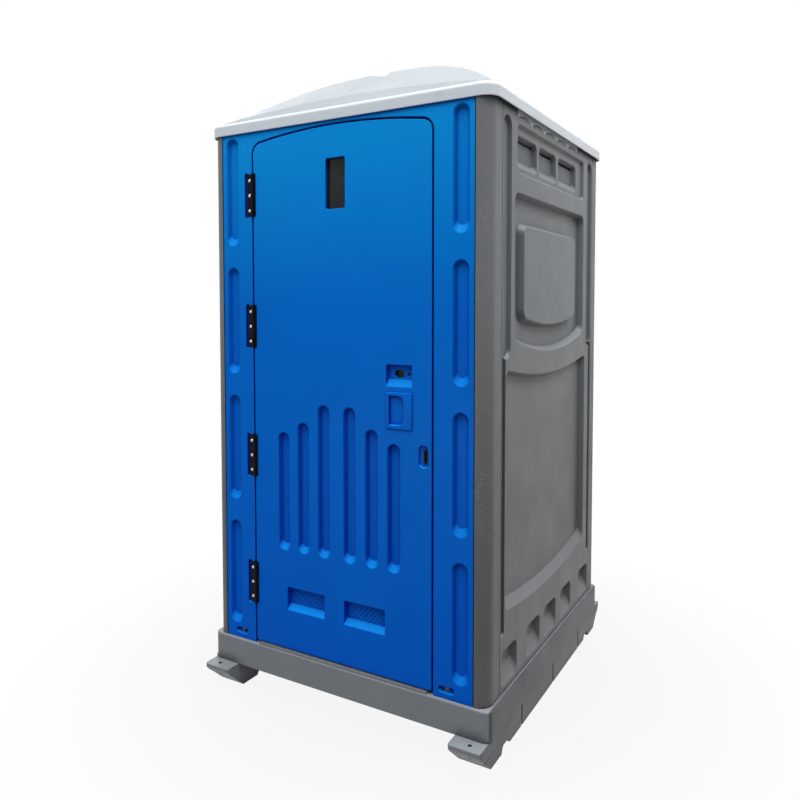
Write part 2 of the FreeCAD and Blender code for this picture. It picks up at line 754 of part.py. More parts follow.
def hose(points, radius, bore, bend):
    """Bent tube along a line of points."""
    pieces = []
    cursor = V(*points[0])
    for index in range(1, len(points) - 1):
        corner = V(*points[index])
        before = (corner - V(*points[index - 1])).normalize()
        after = (V(*points[index + 1]) - corner).normalize()
        turn = before.getAngle(after)
        run = bend * math.tan(turn / 2)
        start = corner - before * run
        end = corner + after * run
        bisector = (after - before).normalize()
        centre = corner + bisector * (bend / math.cos(turn / 2))
        middle = centre - bisector * bend
        pieces.append(Part.makeLine(cursor, start))
        pieces.append(Part.Arc(start, middle, end).toShape())
        cursor = end
    pieces.append(Part.makeLine(cursor, V(*points[-1])))
    wire = Part.Wire(pieces)
    first = (V(*points[1]) - V(*points[0])).normalize()
    outer = Part.Wire(Part.makeCircle(radius, V(*points[0]), first))
    tube = wire.makePipeShell([outer], True, False)
    if bore > 0:
        inner = Part.Wire(Part.makeCircle(bore, V(*points[0]), first))
        tube = tube.cut(wire.makePipeShell([inner], True, False))
    return tube


def flat_at(shape, axis, value):
    """Edges of a shape that lie in the plane where one coordinate has this value."""
    return [e for e in shape.Edges if all(abs(getattr(v.Point, axis) - value) < 0.01 for v in e.Vertexes)]


def centred(plane, u, v, width, height, radius, w0, w1):
    return rounded_block(plane, u - width / 2, u + width / 2, v - height / 2, v + height / 2, radius, w0, w1)


def keep(name, shape):
    PARTS[name] = shape


def base_tray():
    half_x = TRAY_WIDTH / 2
    half_y = TRAY_DEPTH / 2
    tray = rounded_block("plan", -half_x, half_x, -half_y, half_y, TRAY_CORNER, TRAY_BOTTOM, TRAY_TOP)
    tray = tray.makeFillet(TRAY_EDGE, flat_at(tray, "z", TRAY_TOP))
    ceiling = TRAY_TOP - DECK_THICKNESS
    for x0, x1 in thirds(half_x):
        for y0, y1 in thirds(half_y):
            tray = tray.cut(rounded_block("plan", x0, x1, y0, y1, TRAY_CORNER / 2, TRAY_BOTTOM, ceiling))
    rails = []
    for sign in (-1, 1):
        ends = sorted((sign * (half_x - TRAY_SKIN + 1), sign * (SKID_IN - TRAY_SKIN)))
        reach = half_y - TRAY_SKIN + 1
        rails.append(box(ends[0], ends[1], -reach, reach, TRAY_BOTTOM, TRAY_BOTTOM + FOOT_RAIL))
    curbs = []
    for x, z in FRAME_BOLTS:
        toward = 1 if x < 0 else -1
        ends = sorted((x + toward * CURB_TO_DOOR, x - toward * CURB_TO_POST))
        curbs.append(box(ends[0], ends[1], -INNER_Y + SEAM, CURB_BACK, TRAY_TOP, TRAY_TOP + CURB_HEIGHT))
    treads = []
    for index in range(TREAD_COUNT):
        y0 = STOP_BACK + TREAD_MARGIN + index * TREAD_PITCH - TREAD_WIDTH / 2
        y1 = y0 + TREAD_WIDTH
        high = TRAY_TOP + TREAD_HEIGHT
        treads.append(rounded_block("plan", TREAD_LEFT, TREAD_RIGHT, y0, y1, 14.0, TRAY_TOP, high))
    tray = joined(tray, *(rails + curbs + treads))
    for x, z in FRAME_BOLTS:
        tray = tray.cut(cylinder(FRAME_BOLT_RADIUS, (x, -INNER_Y, z), (x, CURB_BACK - FRAME_BOLT_BLIND, z)))
    for x, y in SKID_BOLTS:
        tray = tray.cut(cylinder(SKID_BOLT_RADIUS, (x, y, TRAY_BOTTOM), (x, y, TRAY_BOTTOM + FOOT_RAIL)))
    return tray


def thirds(half):
    """Spans of the three rows of cells under the deck."""
    inner = half - TRAY_SKIN
    step = (2 * inner + TRAY_RIB) / 3
    return [(-inner + index * step, -inner + (index + 1) * step - TRAY_RIB) for index in range(3)]


def skid():
    """Right-hand runner with a lashing foot at each end."""
    rake = SKID_TIP - FOOT_RAKE
    sole = rake - SKID_SOLE
    half = [
        (-SKID_TIP, TRAY_BOTTOM),
        (-SKID_TIP, TRAY_BOTTOM - FOOT_LIP),
        (-SKID_TIP + FOOT_NOSE, TRAY_BOTTOM - FOOT_LIP - 22.0),
        (-rake, 0.0),
        (-sole, 0.0),
        (-sole + 16.0, SKID_NOTCH),
        (-sole + 16.0 + SKID_NOTCH_LENGTH, SKID_NOTCH),
        (-sole + 32.0 + SKID_NOTCH_LENGTH, SKID_RELIEF),
    ]
    points = half + [(-y, z) for y, z in reversed(half)]
    body = prism("side", polygon("side", points, SKID_IN), SKID_WIDTH)
    tools = []
    for y in SKID_GROOVE_PLACES:
        depth = SKID_GROOVE
        tools.append(box(SKID_OUT - depth, SKID_OUT + 1, y - depth, y + depth, -1, TRAY_BOTTOM - 14))
    for sign in (-1, 1):
        tip = sign * SKID_TIP
        for x, inward in ((SKID_IN, 1), (SKID_OUT, -1)):
            edge = x - inward
            corner = [(edge, tip + sign), (x + FOOT_CUT * inward, tip + sign), (edge, tip - FOOT_CUT * sign)]
            tools.append(prism("plan", polygon("plan", corner, -1), TRAY_BOTTOM + 2))
        edge = SKID_OUT + 1
        side = [(edge, -1), (edge - FOOT_UNDERCUT_WIDTH, -1), (edge, FOOT_UNDERCUT_HEIGHT)]
        ends = sorted((tip + sign, sign * sole))
        tools.append(prism("front", polygon("front", side, ends[0]), ends[1] - ends[0]))
        y = sign * FOOT_HOLE_Y
        tools.append(cylinder(FOOT_HOLE_RADIUS, (FOOT_HOLE_X, y, -1), (FOOT_HOLE_X, y, TRAY_BOTTOM + 1)))
    x0 = SKID_IN + SKID_WALL
    x1 = SKID_OUT - SKID_WALL - SKID_GROOVE
    for y0, y1 in SKID_POCKETS:
        tools.append(rounded_block("plan", x0, x1, y0, y1, 12.0, 0.0, TRAY_BOTTOM - SKID_ROOF))
    for x, y in SKID_BOLTS:
        if x > 0:
            tools.append(cylinder(SKID_BOLT_RADIUS, (x, y, 0), (x, y, TRAY_BOTTOM)))
            tools.append(cylinder(SKID_BOLT_HEAD_RADIUS + 2, (x, y, -1), (x, y, SKID_BOLT_SINK)))
    return body.cut(tools)


def skid_bolts():
    bolts = []
    seat = TRAY_BOTTOM + FOOT_RAIL
    sunk = SKID_BOLT_SINK
    thick = SKID_BOLT_HEAD
    for x, y in SKID_BOLTS:
        shank = cylinder(SKID_BOLT_RADIUS, (x, y, sunk), (x, y, seat + thick + 5))
        head = cylinder(SKID_BOLT_HEAD_RADIUS, (x, y, sunk - thick), (x, y, sunk))
        nut = cylinder(SKID_BOLT_HEAD_RADIUS, (x, y, seat), (x, y, seat + thick))
        bolts.append(joined(shank, head, nut))
    return Part.makeCompound(bolts)


def corner_post():
    """Front right post, a hollow section with a flange behind each wall."""
    front = -BODY_Y - POST_PROUD
    left = FRAME_END + SHADOW_GAP
    rear = -WALL_END - SHADOW_GAP
    points = [
        (left, front),
        (BODY_X, front),
        (BODY_X, rear),
        (FLANGE_X + FLANGE_THICKNESS, rear),
        (FLANGE_X + FLANGE_THICKNESS, -WALL_END + FLANGE_OVERLAP),
        (FLANGE_X, -WALL_END + FLANGE_OVERLAP),
        (FLANGE_X, -FLANGE_Y),
        (FRAME_END - FLANGE_OVERLAP, -FLANGE_Y),
        (FRAME_END - FLANGE_OVERLAP, -FLANGE_Y - FLANGE_THICKNESS),
        (left, -FLANGE_Y - FLANGE_THICKNESS),
    ]
    post = prism("plan", polygon("plan", points, TRAY_TOP), WALL_HEIGHT)
    post = post.makeFillet(POST_ROUND, [e for e in post.Edges if is_upright_at(e, BODY_X, front)])
    post = post.makeFillet(POST_EDGE, [e for e in post.Edges if is_upright_at(e, left, front)])
    skin = POST_SKIN
    hollow = [
        (left + skin, front + skin),
        (BODY_X - skin, front + skin),
        (BODY_X - skin, rear - skin),
        (FLANGE_X + skin, rear - skin),
        (FLANGE_X + skin, -FLANGE_Y - skin),
        (left + skin, -FLANGE_Y - skin),
    ]
    bore = prism("plan", polygon("plan", hollow, TRAY_TOP - 1), WALL_HEIGHT + 2)
    rounding = min(POST_ROUND - skin, POST_FRONT_WIDTH - SHADOW_GAP - 2 * skin - 1)
    corner = [e for e in bore.Edges if is_upright_at(e, BODY_X - skin, front + skin)]
    bore = bore.makeFillet(rounding, corner)
    post = post.cut(bore)
    tools = []
    for z in SHELL_RIVET_LEVELS:
        across = (FLANGE_X + FLANGE_THICKNESS + SEAM, -SHELL_RIVET_Y, z)
        tools.append(cylinder(RIVET_RADIUS, (FLANGE_X - 1, -SHELL_RIVET_Y, z), across))
        back = (SHELL_RIVET_X, -FLANGE_Y + 1, z)
        tools.append(cylinder(RIVET_RADIUS, (SHELL_RIVET_X, -FLANGE_Y - FLANGE_THICKNESS - SEAM, z), back))
    return post.cut(tools)


def is_upright_at(edge, x, y):
    ends = [v.Point for v in edge.Vertexes]
    return len(ends) == 2 and all(abs(p.x - x) < 0.01 and abs(p.y - y) < 0.01 for p in ends)


def rivet(start, along_rivet, radius, grip, head_radius, head_height):
    """Rivet whose head lies against the surface at start and whose shank runs the other way."""
    origin = V(*start)
    way = V(*along_rivet)
    shank = Part.makeCylinder(radius, grip, origin, way)
    head = Part.makeCone(head_radius, head_radius * 0.58, head_height, origin, way * -1)
    return joined(shank, head)


def shell_rivets():
    rivets = []
    sizes = (RIVET_RADIUS, RIVET_GRIP, RIVET_HEAD_RADIUS, RIVET_HEAD_HEIGHT)
    for z in SHELL_RIVET_LEVELS:
        for sx in (-1, 1):
            for sy in (-1, 1):
                rivets.append(rivet((sx * FLANGE_X, sy * SHELL_RIVET_Y, z), (sx, 0, 0), *sizes))
                rivets.append(rivet((sx * SHELL_RIVET_X, sy * FLANGE_Y, z), (0, sy, 0), *sizes))
    return Part.makeCompound(rivets)


def side_wall():
    """Right-hand wall with its sunk fields, pockets and air slots."""
    face = BODY_X
    end = WALL_END - SHADOW_GAP
    wall = box(INNER_X, face, -end, end, TRAY_TOP, WALL_TOP)
    tools = side_grooves(face) + side_louvres(face) + side_fields(face) + side_pockets(face)
    front = -WALL_END + STRIP_FRONT
    rear = WALL_END - STRIP_REAR
    window = box(INNER_X - 1, face + 1, front, rear, WALL_TOP - STRIP_DROP, WALL_TOP + 1)
    tools.append(window.cut(strip_arches(STRIP_HUMP_GAP, INNER_X - 1, face + 1)))
    wall = wall.cut(tools)
    bores = []
    for z in SHELL_RIVET_LEVELS:
        for y in (-SHELL_RIVET_Y, SHELL_RIVET_Y):
            bores.append(cylinder(RIVET_RADIUS, (FLANGE_X, y, z), (FLANGE_X + RIVET_GRIP, y, z)))
    return wall.cut(bores)


def side_grooves(face):
    """Upright channels along both ends, wide above and narrow below."""
    outer = WALL_END - WALL_GROOVE_MARGIN
    top = WALL_TOP - WALL_GROOVE_TOP
    waist = TRAY_TOP + WALL_GROOVE_WAIST
    foot = TRAY_TOP + WALL_GROOVE_FOOT
    floor = face - WALL_GROOVE_DEPTH
    tools = []
    for sign in (-1, 1):
        wide = sorted((sign * outer, sign * (outer - WALL_GROOVE_WIDTH)))
        tools.append(dish("side", wide[0], wide[1], waist, top, 36.0, face, floor, 7.0))
        slim = sorted((sign * outer, sign * (outer - WALL_GROOVE_NARROW)))
        tools.append(dish("side", slim[0], slim[1], foot, waist + 20, 14.0, face, floor, 5.0))
    return tools


def side_louvres(face):
    """Sunk band near the top with three pockets, each with a slot through the wall under its upper edge."""
    front = -WALL_END + LOUVRE_FRONT
    rear = WALL_END - LOUVRE_REAR
    top = WALL_TOP - LOUVRE_TOP
    low = top - LOUVRE_BOX_HEIGHT
    floor = face - LOUVRE_BOX_DEPTH
    tools = [dish("side", front, rear, low, top, 22.0, face, floor, 8.0)]
    for start, width in LOUVRES:
        y0 = front + start
        y1 = y0 + width
        z0 = low + LOUVRE_RISE
        z1 = z0 + LOUVRE_HEIGHT
        back = floor - LOUVRE_DEPTH
        tools.append(dish("side", y0, y1, z0, z1, 24.0, floor, back, LOUVRE_SLOPE, LOUVRE_LEDGE))
        top = z1 - LOUVRE_SLOPE
        slot = rounded_block("side", y0 + 14, y1 - 14, top - LOUVRE_SLOT, top, 7.0, INNER_X - 1, face)
        tools.append(slot)
    return tools


def side_fields(face):
    """Upper field around a raised island and a lower field, their horizontal edges bowed downwards."""
    span = (-WALL_END + UPPER_FRONT, WALL_END - UPPER_REAR)
    top = WALL_TOP - UPPER_TOP
    low = TRAY_TOP + UPPER_FOOT
    floor = face - UPPER_DEPTH
    lows = (low, low - UPPER_BOW)
    upper = arched_dish("side", span, lows, (top, top), 34.0, face, floor, UPPER_SLOPE)
    island_span = (span[0] + ISLAND_FRONT, span[1] - ISLAND_REAR)
    island_low = low + ISLAND_FOOT
    island_top = top - ISLAND_TOP
    lows = (island_low, island_low - ISLAND_BOW)
    highs = (island_top, island_top)
    island = arched_dish("side", island_span, lows, highs, 40.0, floor - 0.5, face, ISLAND_SLOPE)
    lower_span = (-WALL_END + LOWER_FRONT, WALL_END - LOWER_REAR)
    foot = TRAY_TOP + LOWER_FOOT
    head = TRAY_TOP + LOWER_TOP
    lows = (foot, foot - LOWER_FOOT_BOW)
    highs = (head, head - LOWER_TOP_BOW)
    floor = face - LOWER_DEPTH
    lower = arched_dish("side", lower_span, lows, highs, 30.0, face, floor, LOWER_SLOPE, LOWER_LEDGE)
    return [upper.cut(island), lower]


def side_pockets(face):
    ends = WALL_END - POCKET_END_INSET
    foot = TRAY_TOP + POCKET_FOOT
    top = foot + POCKET_HEIGHT
    half = POCKET_WIDTH / 2
    floor = face - POCKET_DEPTH
    tools = []
    for y in (-ends,) + POCKET_PLACES + (ends,):
        y0 = y - half
        y1 = y + half
        tools.append(dish("side", y0, y1, foot, top, 24.0, face, floor, POCKET_SLOPE, POCKET_LEDGE))
    return tools


def strip_arches(inset, x0, x1):
    """Arched spaces in the lower edge of the strip, or with an inset the humps of the wall in them."""
    y0 = -WALL_END + STRIP_FRONT + STRIP_GAP
    y1 = WALL_END - STRIP_REAR - STRIP_GAP
    pitch = (y1 - y0) / STRIP_ARCHES
    low = WALL_TOP - STRIP_DROP - 10.0
    spring = WALL_TOP - STRIP_SPRING - inset
    crown = WALL_TOP - STRIP_CROWN - inset
    arches = []
    for index in range(STRIP_ARCHES):
        start = y0 + index * pitch + STRIP_LEG / 2 + inset
        end = y0 + (index + 1) * pitch - STRIP_LEG / 2 - inset
        wire = arched_wire("side", start, end, low, low, spring, crown, 3.0, x0)
        arches.append(prism("side", wire, x1 - x0))
    return arches


def vent_strip():
    """Right-hand strip over the humps in the top of the wall, with a narrow air gap around each hump."""
    y0 = -WALL_END + STRIP_FRONT + STRIP_GAP
    y1 = WALL_END - STRIP_REAR - STRIP_GAP
    x1 = BODY_X - STRIP_RECESS
    x0 = x1 - STRIP_THICKNESS
    strip = box(x0, x1, y0, y1, WALL_TOP - STRIP_DROP, WALL_TOP)
    return strip.cut(strip_arches(0.0, x0 - 1, x1 + 1))


def rear_wall():
    end = FRAME_END - SHADOW_GAP
    wall = box(-end, end, INNER_Y, BODY_Y, TRAY_TOP, WALL_TOP)
    edge = FRAME_END - REAR_FIELD_MARGIN
    inner = edge - REAR_FIELD_WIDTH
    middle = inner - REAR_FIELD_GAP
    waist = TRAY_TOP + REAR_FIELD_WAIST
    rows = (
        (TRAY_TOP + REAR_FIELD_FOOT, waist - REAR_FIELD_BREAK / 2),
        (waist + REAR_FIELD_BREAK / 2, WALL_TOP - REAR_FIELD_TOP),
    )
    tools = []
    for x0, x1 in ((-edge, -inner), (-middle, middle), (inner, edge)):
        for z0, z1 in rows:
            tools.append(dish("front", x0, x1, z0, z1, 30.0, BODY_Y, BODY_Y - REAR_FIELD_DEPTH, 9.0))
    slot = WALL_TOP - REAR_SLOT_DROP
    for x in (-REAR_SLOT_PITCH, 0.0, REAR_SLOT_PITCH):
        size = (REAR_SLOT_WIDTH, REAR_SLOT_HEIGHT)
        tools.append(centred("front", x, slot, *size, 9.0, INNER_Y - 1, BODY_Y + 1))
    for z in SHELL_RIVET_LEVELS:
        for x in (-SHELL_RIVET_X, SHELL_RIVET_X):
            tools.append(cylinder(RIVET_RADIUS, (x, FLANGE_Y, z), (x, FLANGE_Y + RIVET_GRIP, z)))
    return wall.cut(tools)


def opening_block(grow, radius, y0, y1):
    """Block in the shape of the doorway, larger all round by grow and open at the floor."""
    half = OPENING_X + grow
    below = TRAY_TOP - 2 * radius
    return arched_block(
        "front", -half, half, below, below, OPENING_SHOULDER + grow, OPENING_CROWN + grow, radius, y0, y1
    )


def front_frame():
    """Front panel around the doorway with the stop that the door closes against."""
    face = DOOR_FACE
    end = FRAME_END - SHADOW_GAP
    panel = box(-end, end, face, -INNER_Y, TRAY_TOP, WALL_TOP)
    band = opening_block(STOP_SPREAD, DOOR_CORNER + DOOR_GAP + STOP_SPREAD, -INNER_Y - 1, STOP_BACK)
    band = band.common(box(-end, end, face, STOP_BACK, TRAY_TOP, WALL_TOP))
    frame = joined(panel, band)
    tools = [
        opening_block(0.0, DOOR_CORNER + DOOR_GAP, face - 1, STOP_FACE),
        opening_block(-DOOR_GAP - STOP_OVERLAP, 20.0, face - 1, STOP_BACK + 1),
    ]
    for x in (-FRAME_END + FRAME_GROOVE_INSET, FRAME_END - FRAME_GROOVE_INSET):
        for index in range(FRAME_GROOVE_COUNT):
            z = TRAY_TOP + FRAME_GROOVE_FIRST + index * FRAME_GROOVE_PITCH
            x0 = x - FRAME_GROOVE_WIDTH / 2
            z0 = z - FRAME_GROOVE_HEIGHT / 2
            x1 = x0 + FRAME_GROOVE_WIDTH
            z1 = z0 + FRAME_GROOVE_HEIGHT
            tools.append(dish("front", x0, x1, z0, z1, 28.0, face, face + FRAME_GROOVE_DEPTH, 9.0, 26.0))
    for x, z in FRAME_BOLTS:
        floor = face + FRAME_BOLT_POCKET
        tools.append(dish("front", x - 29, x + 29, z - 11, z + 11, 11.0, face, floor, 2.0))
        tools.append(cylinder(FRAME_BOLT_RADIUS, (x, face, z), (x, -INNER_Y + 1, z)))
    pocket = LEAF_LEFT - LEAF_POCKET
    ledge = LEAF_LEFT + 6.0
    half = HINGE_HEIGHT / 2
    for z in HINGE_LEVELS:
        floor = face + LEAF_POCKET_DEPTH
        sunk = rounded_block("front", pocket, ledge, z - half - 4, z + half + 4, 6.0, face, floor)
        shelf = box(LEAF_LEFT, ledge + 1, face + LEAF_THICKNESS, floor + 1, z - half - 5, z + half + 5)
        tools.append(sunk.cut(shelf))
        tools.append(box(LEAF_LEFT, -OPENING_X + 1, face - 1, face + LEAF_THICKNESS, z - half, z + half))
        tools.append(knuckle_clearance(z))
        for step in RIVET_STEPS:
            start = (HINGE_RIVET_X, face, z + step)
            end = (HINGE_RIVET_X, face + HINGE_RIVET_LENGTH, z + step)
            tools.append(cylinder(HINGE_RIVET_RADIUS, start, end))
    for z in SHELL_RIVET_LEVELS:
        for x in (-SHELL_RIVET_X, SHELL_RIVET_X):
            tools.append(cylinder(RIVET_RADIUS, (x, -FLANGE_Y - RIVET_GRIP, z), (x, -FLANGE_Y, z)))
    for x, z in KEEPER_SCREWS:
        tools.append(cylinder(SCREW_RADIUS, (x, STOP_BACK - KEEPER_SCREW_GRIP, z), (x, STOP_BACK + 1, z)))
    return frame.cut(tools)


def knuckle_clearance(z):
    half = HINGE_HEIGHT / 2
    low = (HINGE_X, HINGE_Y, z - half - 1)
    high = (HINGE_X, HINGE_Y, z + half + PIN_HEAD + 1)
    return cylinder(KNUCKLE_RADIUS + KNUCKLE_CLEARANCE, low, high)


def frame_bolts():
    bolts = []
    seat = DOOR_FACE + FRAME_BOLT_POCKET
    for x, z in FRAME_BOLTS:
        shank = cylinder(FRAME_BOLT_RADIUS, (x, seat, z), (x, CURB_BACK - FRAME_BOLT_BLIND, z))
        head = cylinder(FRAME_BOLT_HEAD_RADIUS, (x, seat - 6, z), (x, seat, z))
        washer = cylinder(FRAME_BOLT_HEAD_RADIUS + 0.3, (x, seat - 1.5, z), (x, seat, z))
        bolts.append(joined(shank, head, washer))
    return Part.makeCompound(bolts)


def knuckle(z, third):
    height = HINGE_HEIGHT / 3
    low = z - HINGE_HEIGHT / 2 + third * height + KNUCKLE_GAP / 2
    high = low + height - KNUCKLE_GAP
    barrel = cylinder(KNUCKLE_RADIUS, (HINGE_X, HINGE_Y, low), (HINGE_X, HINGE_Y, high))
    return barrel, low, high


def hinge_axis(radius, low, high):
    return cylinder(radius, (HINGE_X, HINGE_Y, low), (HINGE_X, HINGE_Y, high))


def frame_hinge_leaves():
    back = DOOR_FACE + LEAF_THICKNESS
    leaves = []
    for z in HINGE_LEVELS:
        low = z - HINGE_HEIGHT / 2
        high = z + HINGE_HEIGHT / 2
        leaf = box(LEAF_LEFT, -OPENING_X - HINGE_LEAF_GAP, DOOR_FACE, back, low, high)
        for third in (0, 2):
            barrel, bottom, top = knuckle(z, third)
            web = box(-OPENING_X - HINGE_LEAF_GAP - 1, HINGE_X, DOOR_FACE, back, bottom, top)
            leaf = joined(leaf, web, barrel)
        leaf = leaf.cut(hinge_axis(PIN_RADIUS, low - 1, high + 1))
        for step in RIVET_STEPS:
            start = (HINGE_RIVET_X, DOOR_FACE - 1, z + step)
            end = (HINGE_RIVET_X, back + 1, z + step)
            leaf = leaf.cut(cylinder(HINGE_RIVET_RADIUS, start, end))
        leaves.append(leaf)
    return Part.makeCompound(leaves)


def door_hinge_leaves():
    edge = -DOOR_X
    back = DOOR_FACE + LEAF_THICKNESS
    leaves = []
    for z in HINGE_LEVELS:
        low = z - HINGE_HEIGHT / 2
        high = z + HINGE_HEIGHT / 2
        strip = box(edge, edge + LEAF_STRIP, DOOR_FACE, back, low, high)
        flap = box(edge - FLAP_THICKNESS, edge, DOOR_FACE + 1, DOOR_FACE + FLAP_DEPTH, low, high)
        barrel, bottom, top = knuckle(z, 1)
        web = box(HINGE_X, edge + 1, DOOR_FACE, back, bottom, top)
        around = KNUCKLE_RADIUS + KNUCKLE_CLEARANCE / 2
        clear = [hinge_axis(around, low - 1, bottom), hinge_axis(around, top, high + 1)]
        leaf = joined(strip, flap, web).cut(clear)
        leaf = joined(leaf, barrel)
        tools = [hinge_axis(PIN_RADIUS + PIN_CLEARANCE, low, high)]
        for step in RIVET_STEPS:
            y = DOOR_FACE + FLAP_RIVET_SETBACK
            tools.append(cylinder(FLAP_RIVET_RADIUS, (edge - 5, y, z + step), (edge + 2, y, z + step)))
        leaves.append(leaf.cut(tools))
    return Part.makeCompound(leaves)


def hinge_pins():
    pins = []
    for z in HINGE_LEVELS:
        low = z - HINGE_HEIGHT / 2
        high = z + HINGE_HEIGHT / 2
        head = hinge_axis(PIN_HEAD_RADIUS, high, high + PIN_HEAD)
        pins.append(joined(hinge_axis(PIN_RADIUS, low, high), head))
    return Part.makeCompound(pins)


def frame_hinge_rivets():
    rivets = []
    for z in HINGE_LEVELS:
        for step in RIVET_STEPS:
            start = (HINGE_RIVET_X, DOOR_FACE, z + step)
            rivets.append(rivet(start, (0, 1, 0), HINGE_RIVET_RADIUS, HINGE_RIVET_LENGTH, 6.0, 2.5))
    return Part.makeCompound(rivets)


def door_hinge_rivets():
    rivets = []
    for z in HINGE_LEVELS:
        for step in RIVET_STEPS:
            start = (-DOOR_X - FLAP_THICKNESS, DOOR_FACE + FLAP_RIVET_SETBACK, z + step)
            rivets.append(rivet(start, (1, 0, 0), FLAP_RIVET_RADIUS, FLAP_RIVET_LENGTH, 4.0, 1.5))
    return Part.makeCompound(rivets)


def door_panel():
    """Door leaf with flutes, air vents, window and latch recesses, hollow where it is plain."""
    shoulder = OPENING_SHOULDER - DOOR_GAP
    crown = OPENING_CROWN - DOOR_GAP
    face = DOOR_FACE
    door = arched_block(
        "front", -DOOR_X, DOOR_X, DOOR_BOTTOM, DOOR_BOTTOM, shoulder, crown, DOOR_CORNER, face, DOOR_BACK
    )
    square = DOOR_BOTTOM + 3 * DOOR_CORNER
    foot = rounded_block("front", -DOOR_X, DOOR_X, DOOR_BOTTOM, square, DOOR_FOOT_CORNER, face, DOOR_BACK)
    door = joined(door, foot)
    tools = door_flutes() + door_vents() + latch_recesses()
    tools += window_cuts() + hinge_cuts() + door_cores(shoulder)
    for x, z in CASE_SCREWS + HANDLE_SCREWS + HOOK_SCREWS:
        tools.append(cylinder(SCREW_RADIUS, (x, DOOR_BACK - SCREW_GRIP, z), (x, DOOR_BACK + 1, z)))
    return door.cut(tools)


def door_flutes():
    foot = DOOR_BOTTOM + FLUTE_FOOT
    half = FLUTE_WIDTH / 2
    floor = DOOR_FACE + FLUTE_DEPTH
    tools = []
    for offset, rise in FLUTES:
        top = DOOR_BOTTOM + rise
        for x in (FLUTE_MIDDLE - offset, FLUTE_MIDDLE + offset):
            tools.append(dish("front", x - half, x + half, foot, top, 25.0, DOOR_FACE, floor, 8.0, 22.0))
    return tools


def door_vents():
    low = DOOR_BOTTOM + VENT_RISE
    top = low + VENT_HEIGHT
    half = VENT_WIDTH / 2
    floor = DOOR_FACE + VENT_DEPTH
    tools = []
    for x in VENT_CENTRES:
        tools.append(dish("front", x - half, x + half, low, top, 6.0, DOOR_FACE, floor, 3.0, VENT_LEDGE))
        for row in range(VENT_ROWS):
            count = VENT_COLUMNS - row % 2
            z = low + VENT_LEDGE + VENT_ROW_MARGIN + row * VENT_ROW_PITCH
            for index in range(count):
                hx = x + (index - (count - 1) / 2) * VENT_PITCH
                tools.append(cylinder(VENT_HOLE_RADIUS, (hx, floor - 5, z), (hx, DOOR_BACK + 1, z)))
    return tools


def latch_recesses():
    face = DOOR_FACE
    x = LATCH_X + LATCH_RECESS_SHIFT_X
    z = LATCH_Z + LATCH_RECESS_SHIFT_Z
    x0 = x - LATCH_RECESS_WIDTH / 2
    x1 = x + LATCH_RECESS_WIDTH / 2
    z0 = z - LATCH_RECESS_HEIGHT / 2
    z1 = z + LATCH_RECESS_HEIGHT / 2
    tools = [dish("front", x0, x1, z0, z1, 5.0, face, face + LATCH_RECESS_DEPTH, 3.0, LATCH_RECESS_LEDGE)]
    tools.append(centred("front", LATCH_X, LATCH_Z, SIGHT_WIDTH, SIGHT_HEIGHT, 11.0, face, DOOR_BACK + 1))
    tools.append(cylinder(RELEASE_RADIUS, (RELEASE_X, face, LATCH_Z), (RELEASE_X, DOOR_BACK + 1, LATCH_Z)))
    tools.append(centred("front", CUP_X, CUP_Z, CUP_WIDTH, CUP_HEIGHT, 8.0, face - 1, face + CUP_DEPTH))
    x0 = HASP_X - HASP_WIDTH / 2
    x1 = x0 + HASP_WIDTH
    z0 = HASP_Z - HASP_HEIGHT / 2
    z1 = z0 + HASP_HEIGHT
    tools.append(dish("front", x0, x1, z0, z1, 17.0, face, face + HASP_DEPTH, 4.0))
    x = HASP_X + HASP_SLOT_SHIFT
    tools.append(centred("front", x, HASP_Z, HASP_SLOT_WIDTH, HASP_SLOT_HEIGHT, 7.9, face, HASP_BACK))
    return tools


def window_cuts():
    back = DOOR_BACK + 1
    pane_x = WINDOW_WIDTH + 2 * PANE_MARGIN
    pane_z = WINDOW_HEIGHT + 2 * PANE_MARGIN
    return [
        centred("front", WINDOW_X, WINDOW_Z, WINDOW_WIDTH, WINDOW_HEIGHT, 6.0, DOOR_FACE - 1, back),
        centred("front", WINDOW_X, WINDOW_Z, pane_x, pane_z, 10.0, DOOR_FACE + PANE_SETBACK, back),
    ]


def hinge_cuts():
    edge = -DOOR_X
    y = DOOR_FACE + FLAP_RIVET_SETBACK
    tools = []
    for z in HINGE_LEVELS:
        half = HINGE_HEIGHT / 2
        back = DOOR_FACE + LEAF_THICKNESS
        tools.append(box(edge - 1, edge + LEAF_STRIP, DOOR_FACE - 1, back, z - half, z + half))
        tools.append(knuckle_clearance(z))
        for step in RIVET_STEPS:
            end = edge - FLAP_THICKNESS + FLAP_RIVET_LENGTH
            tools.append(cylinder(FLAP_RIVET_RADIUS, (edge - 1, y, z + step), (end, y, z + step)))
    return tools


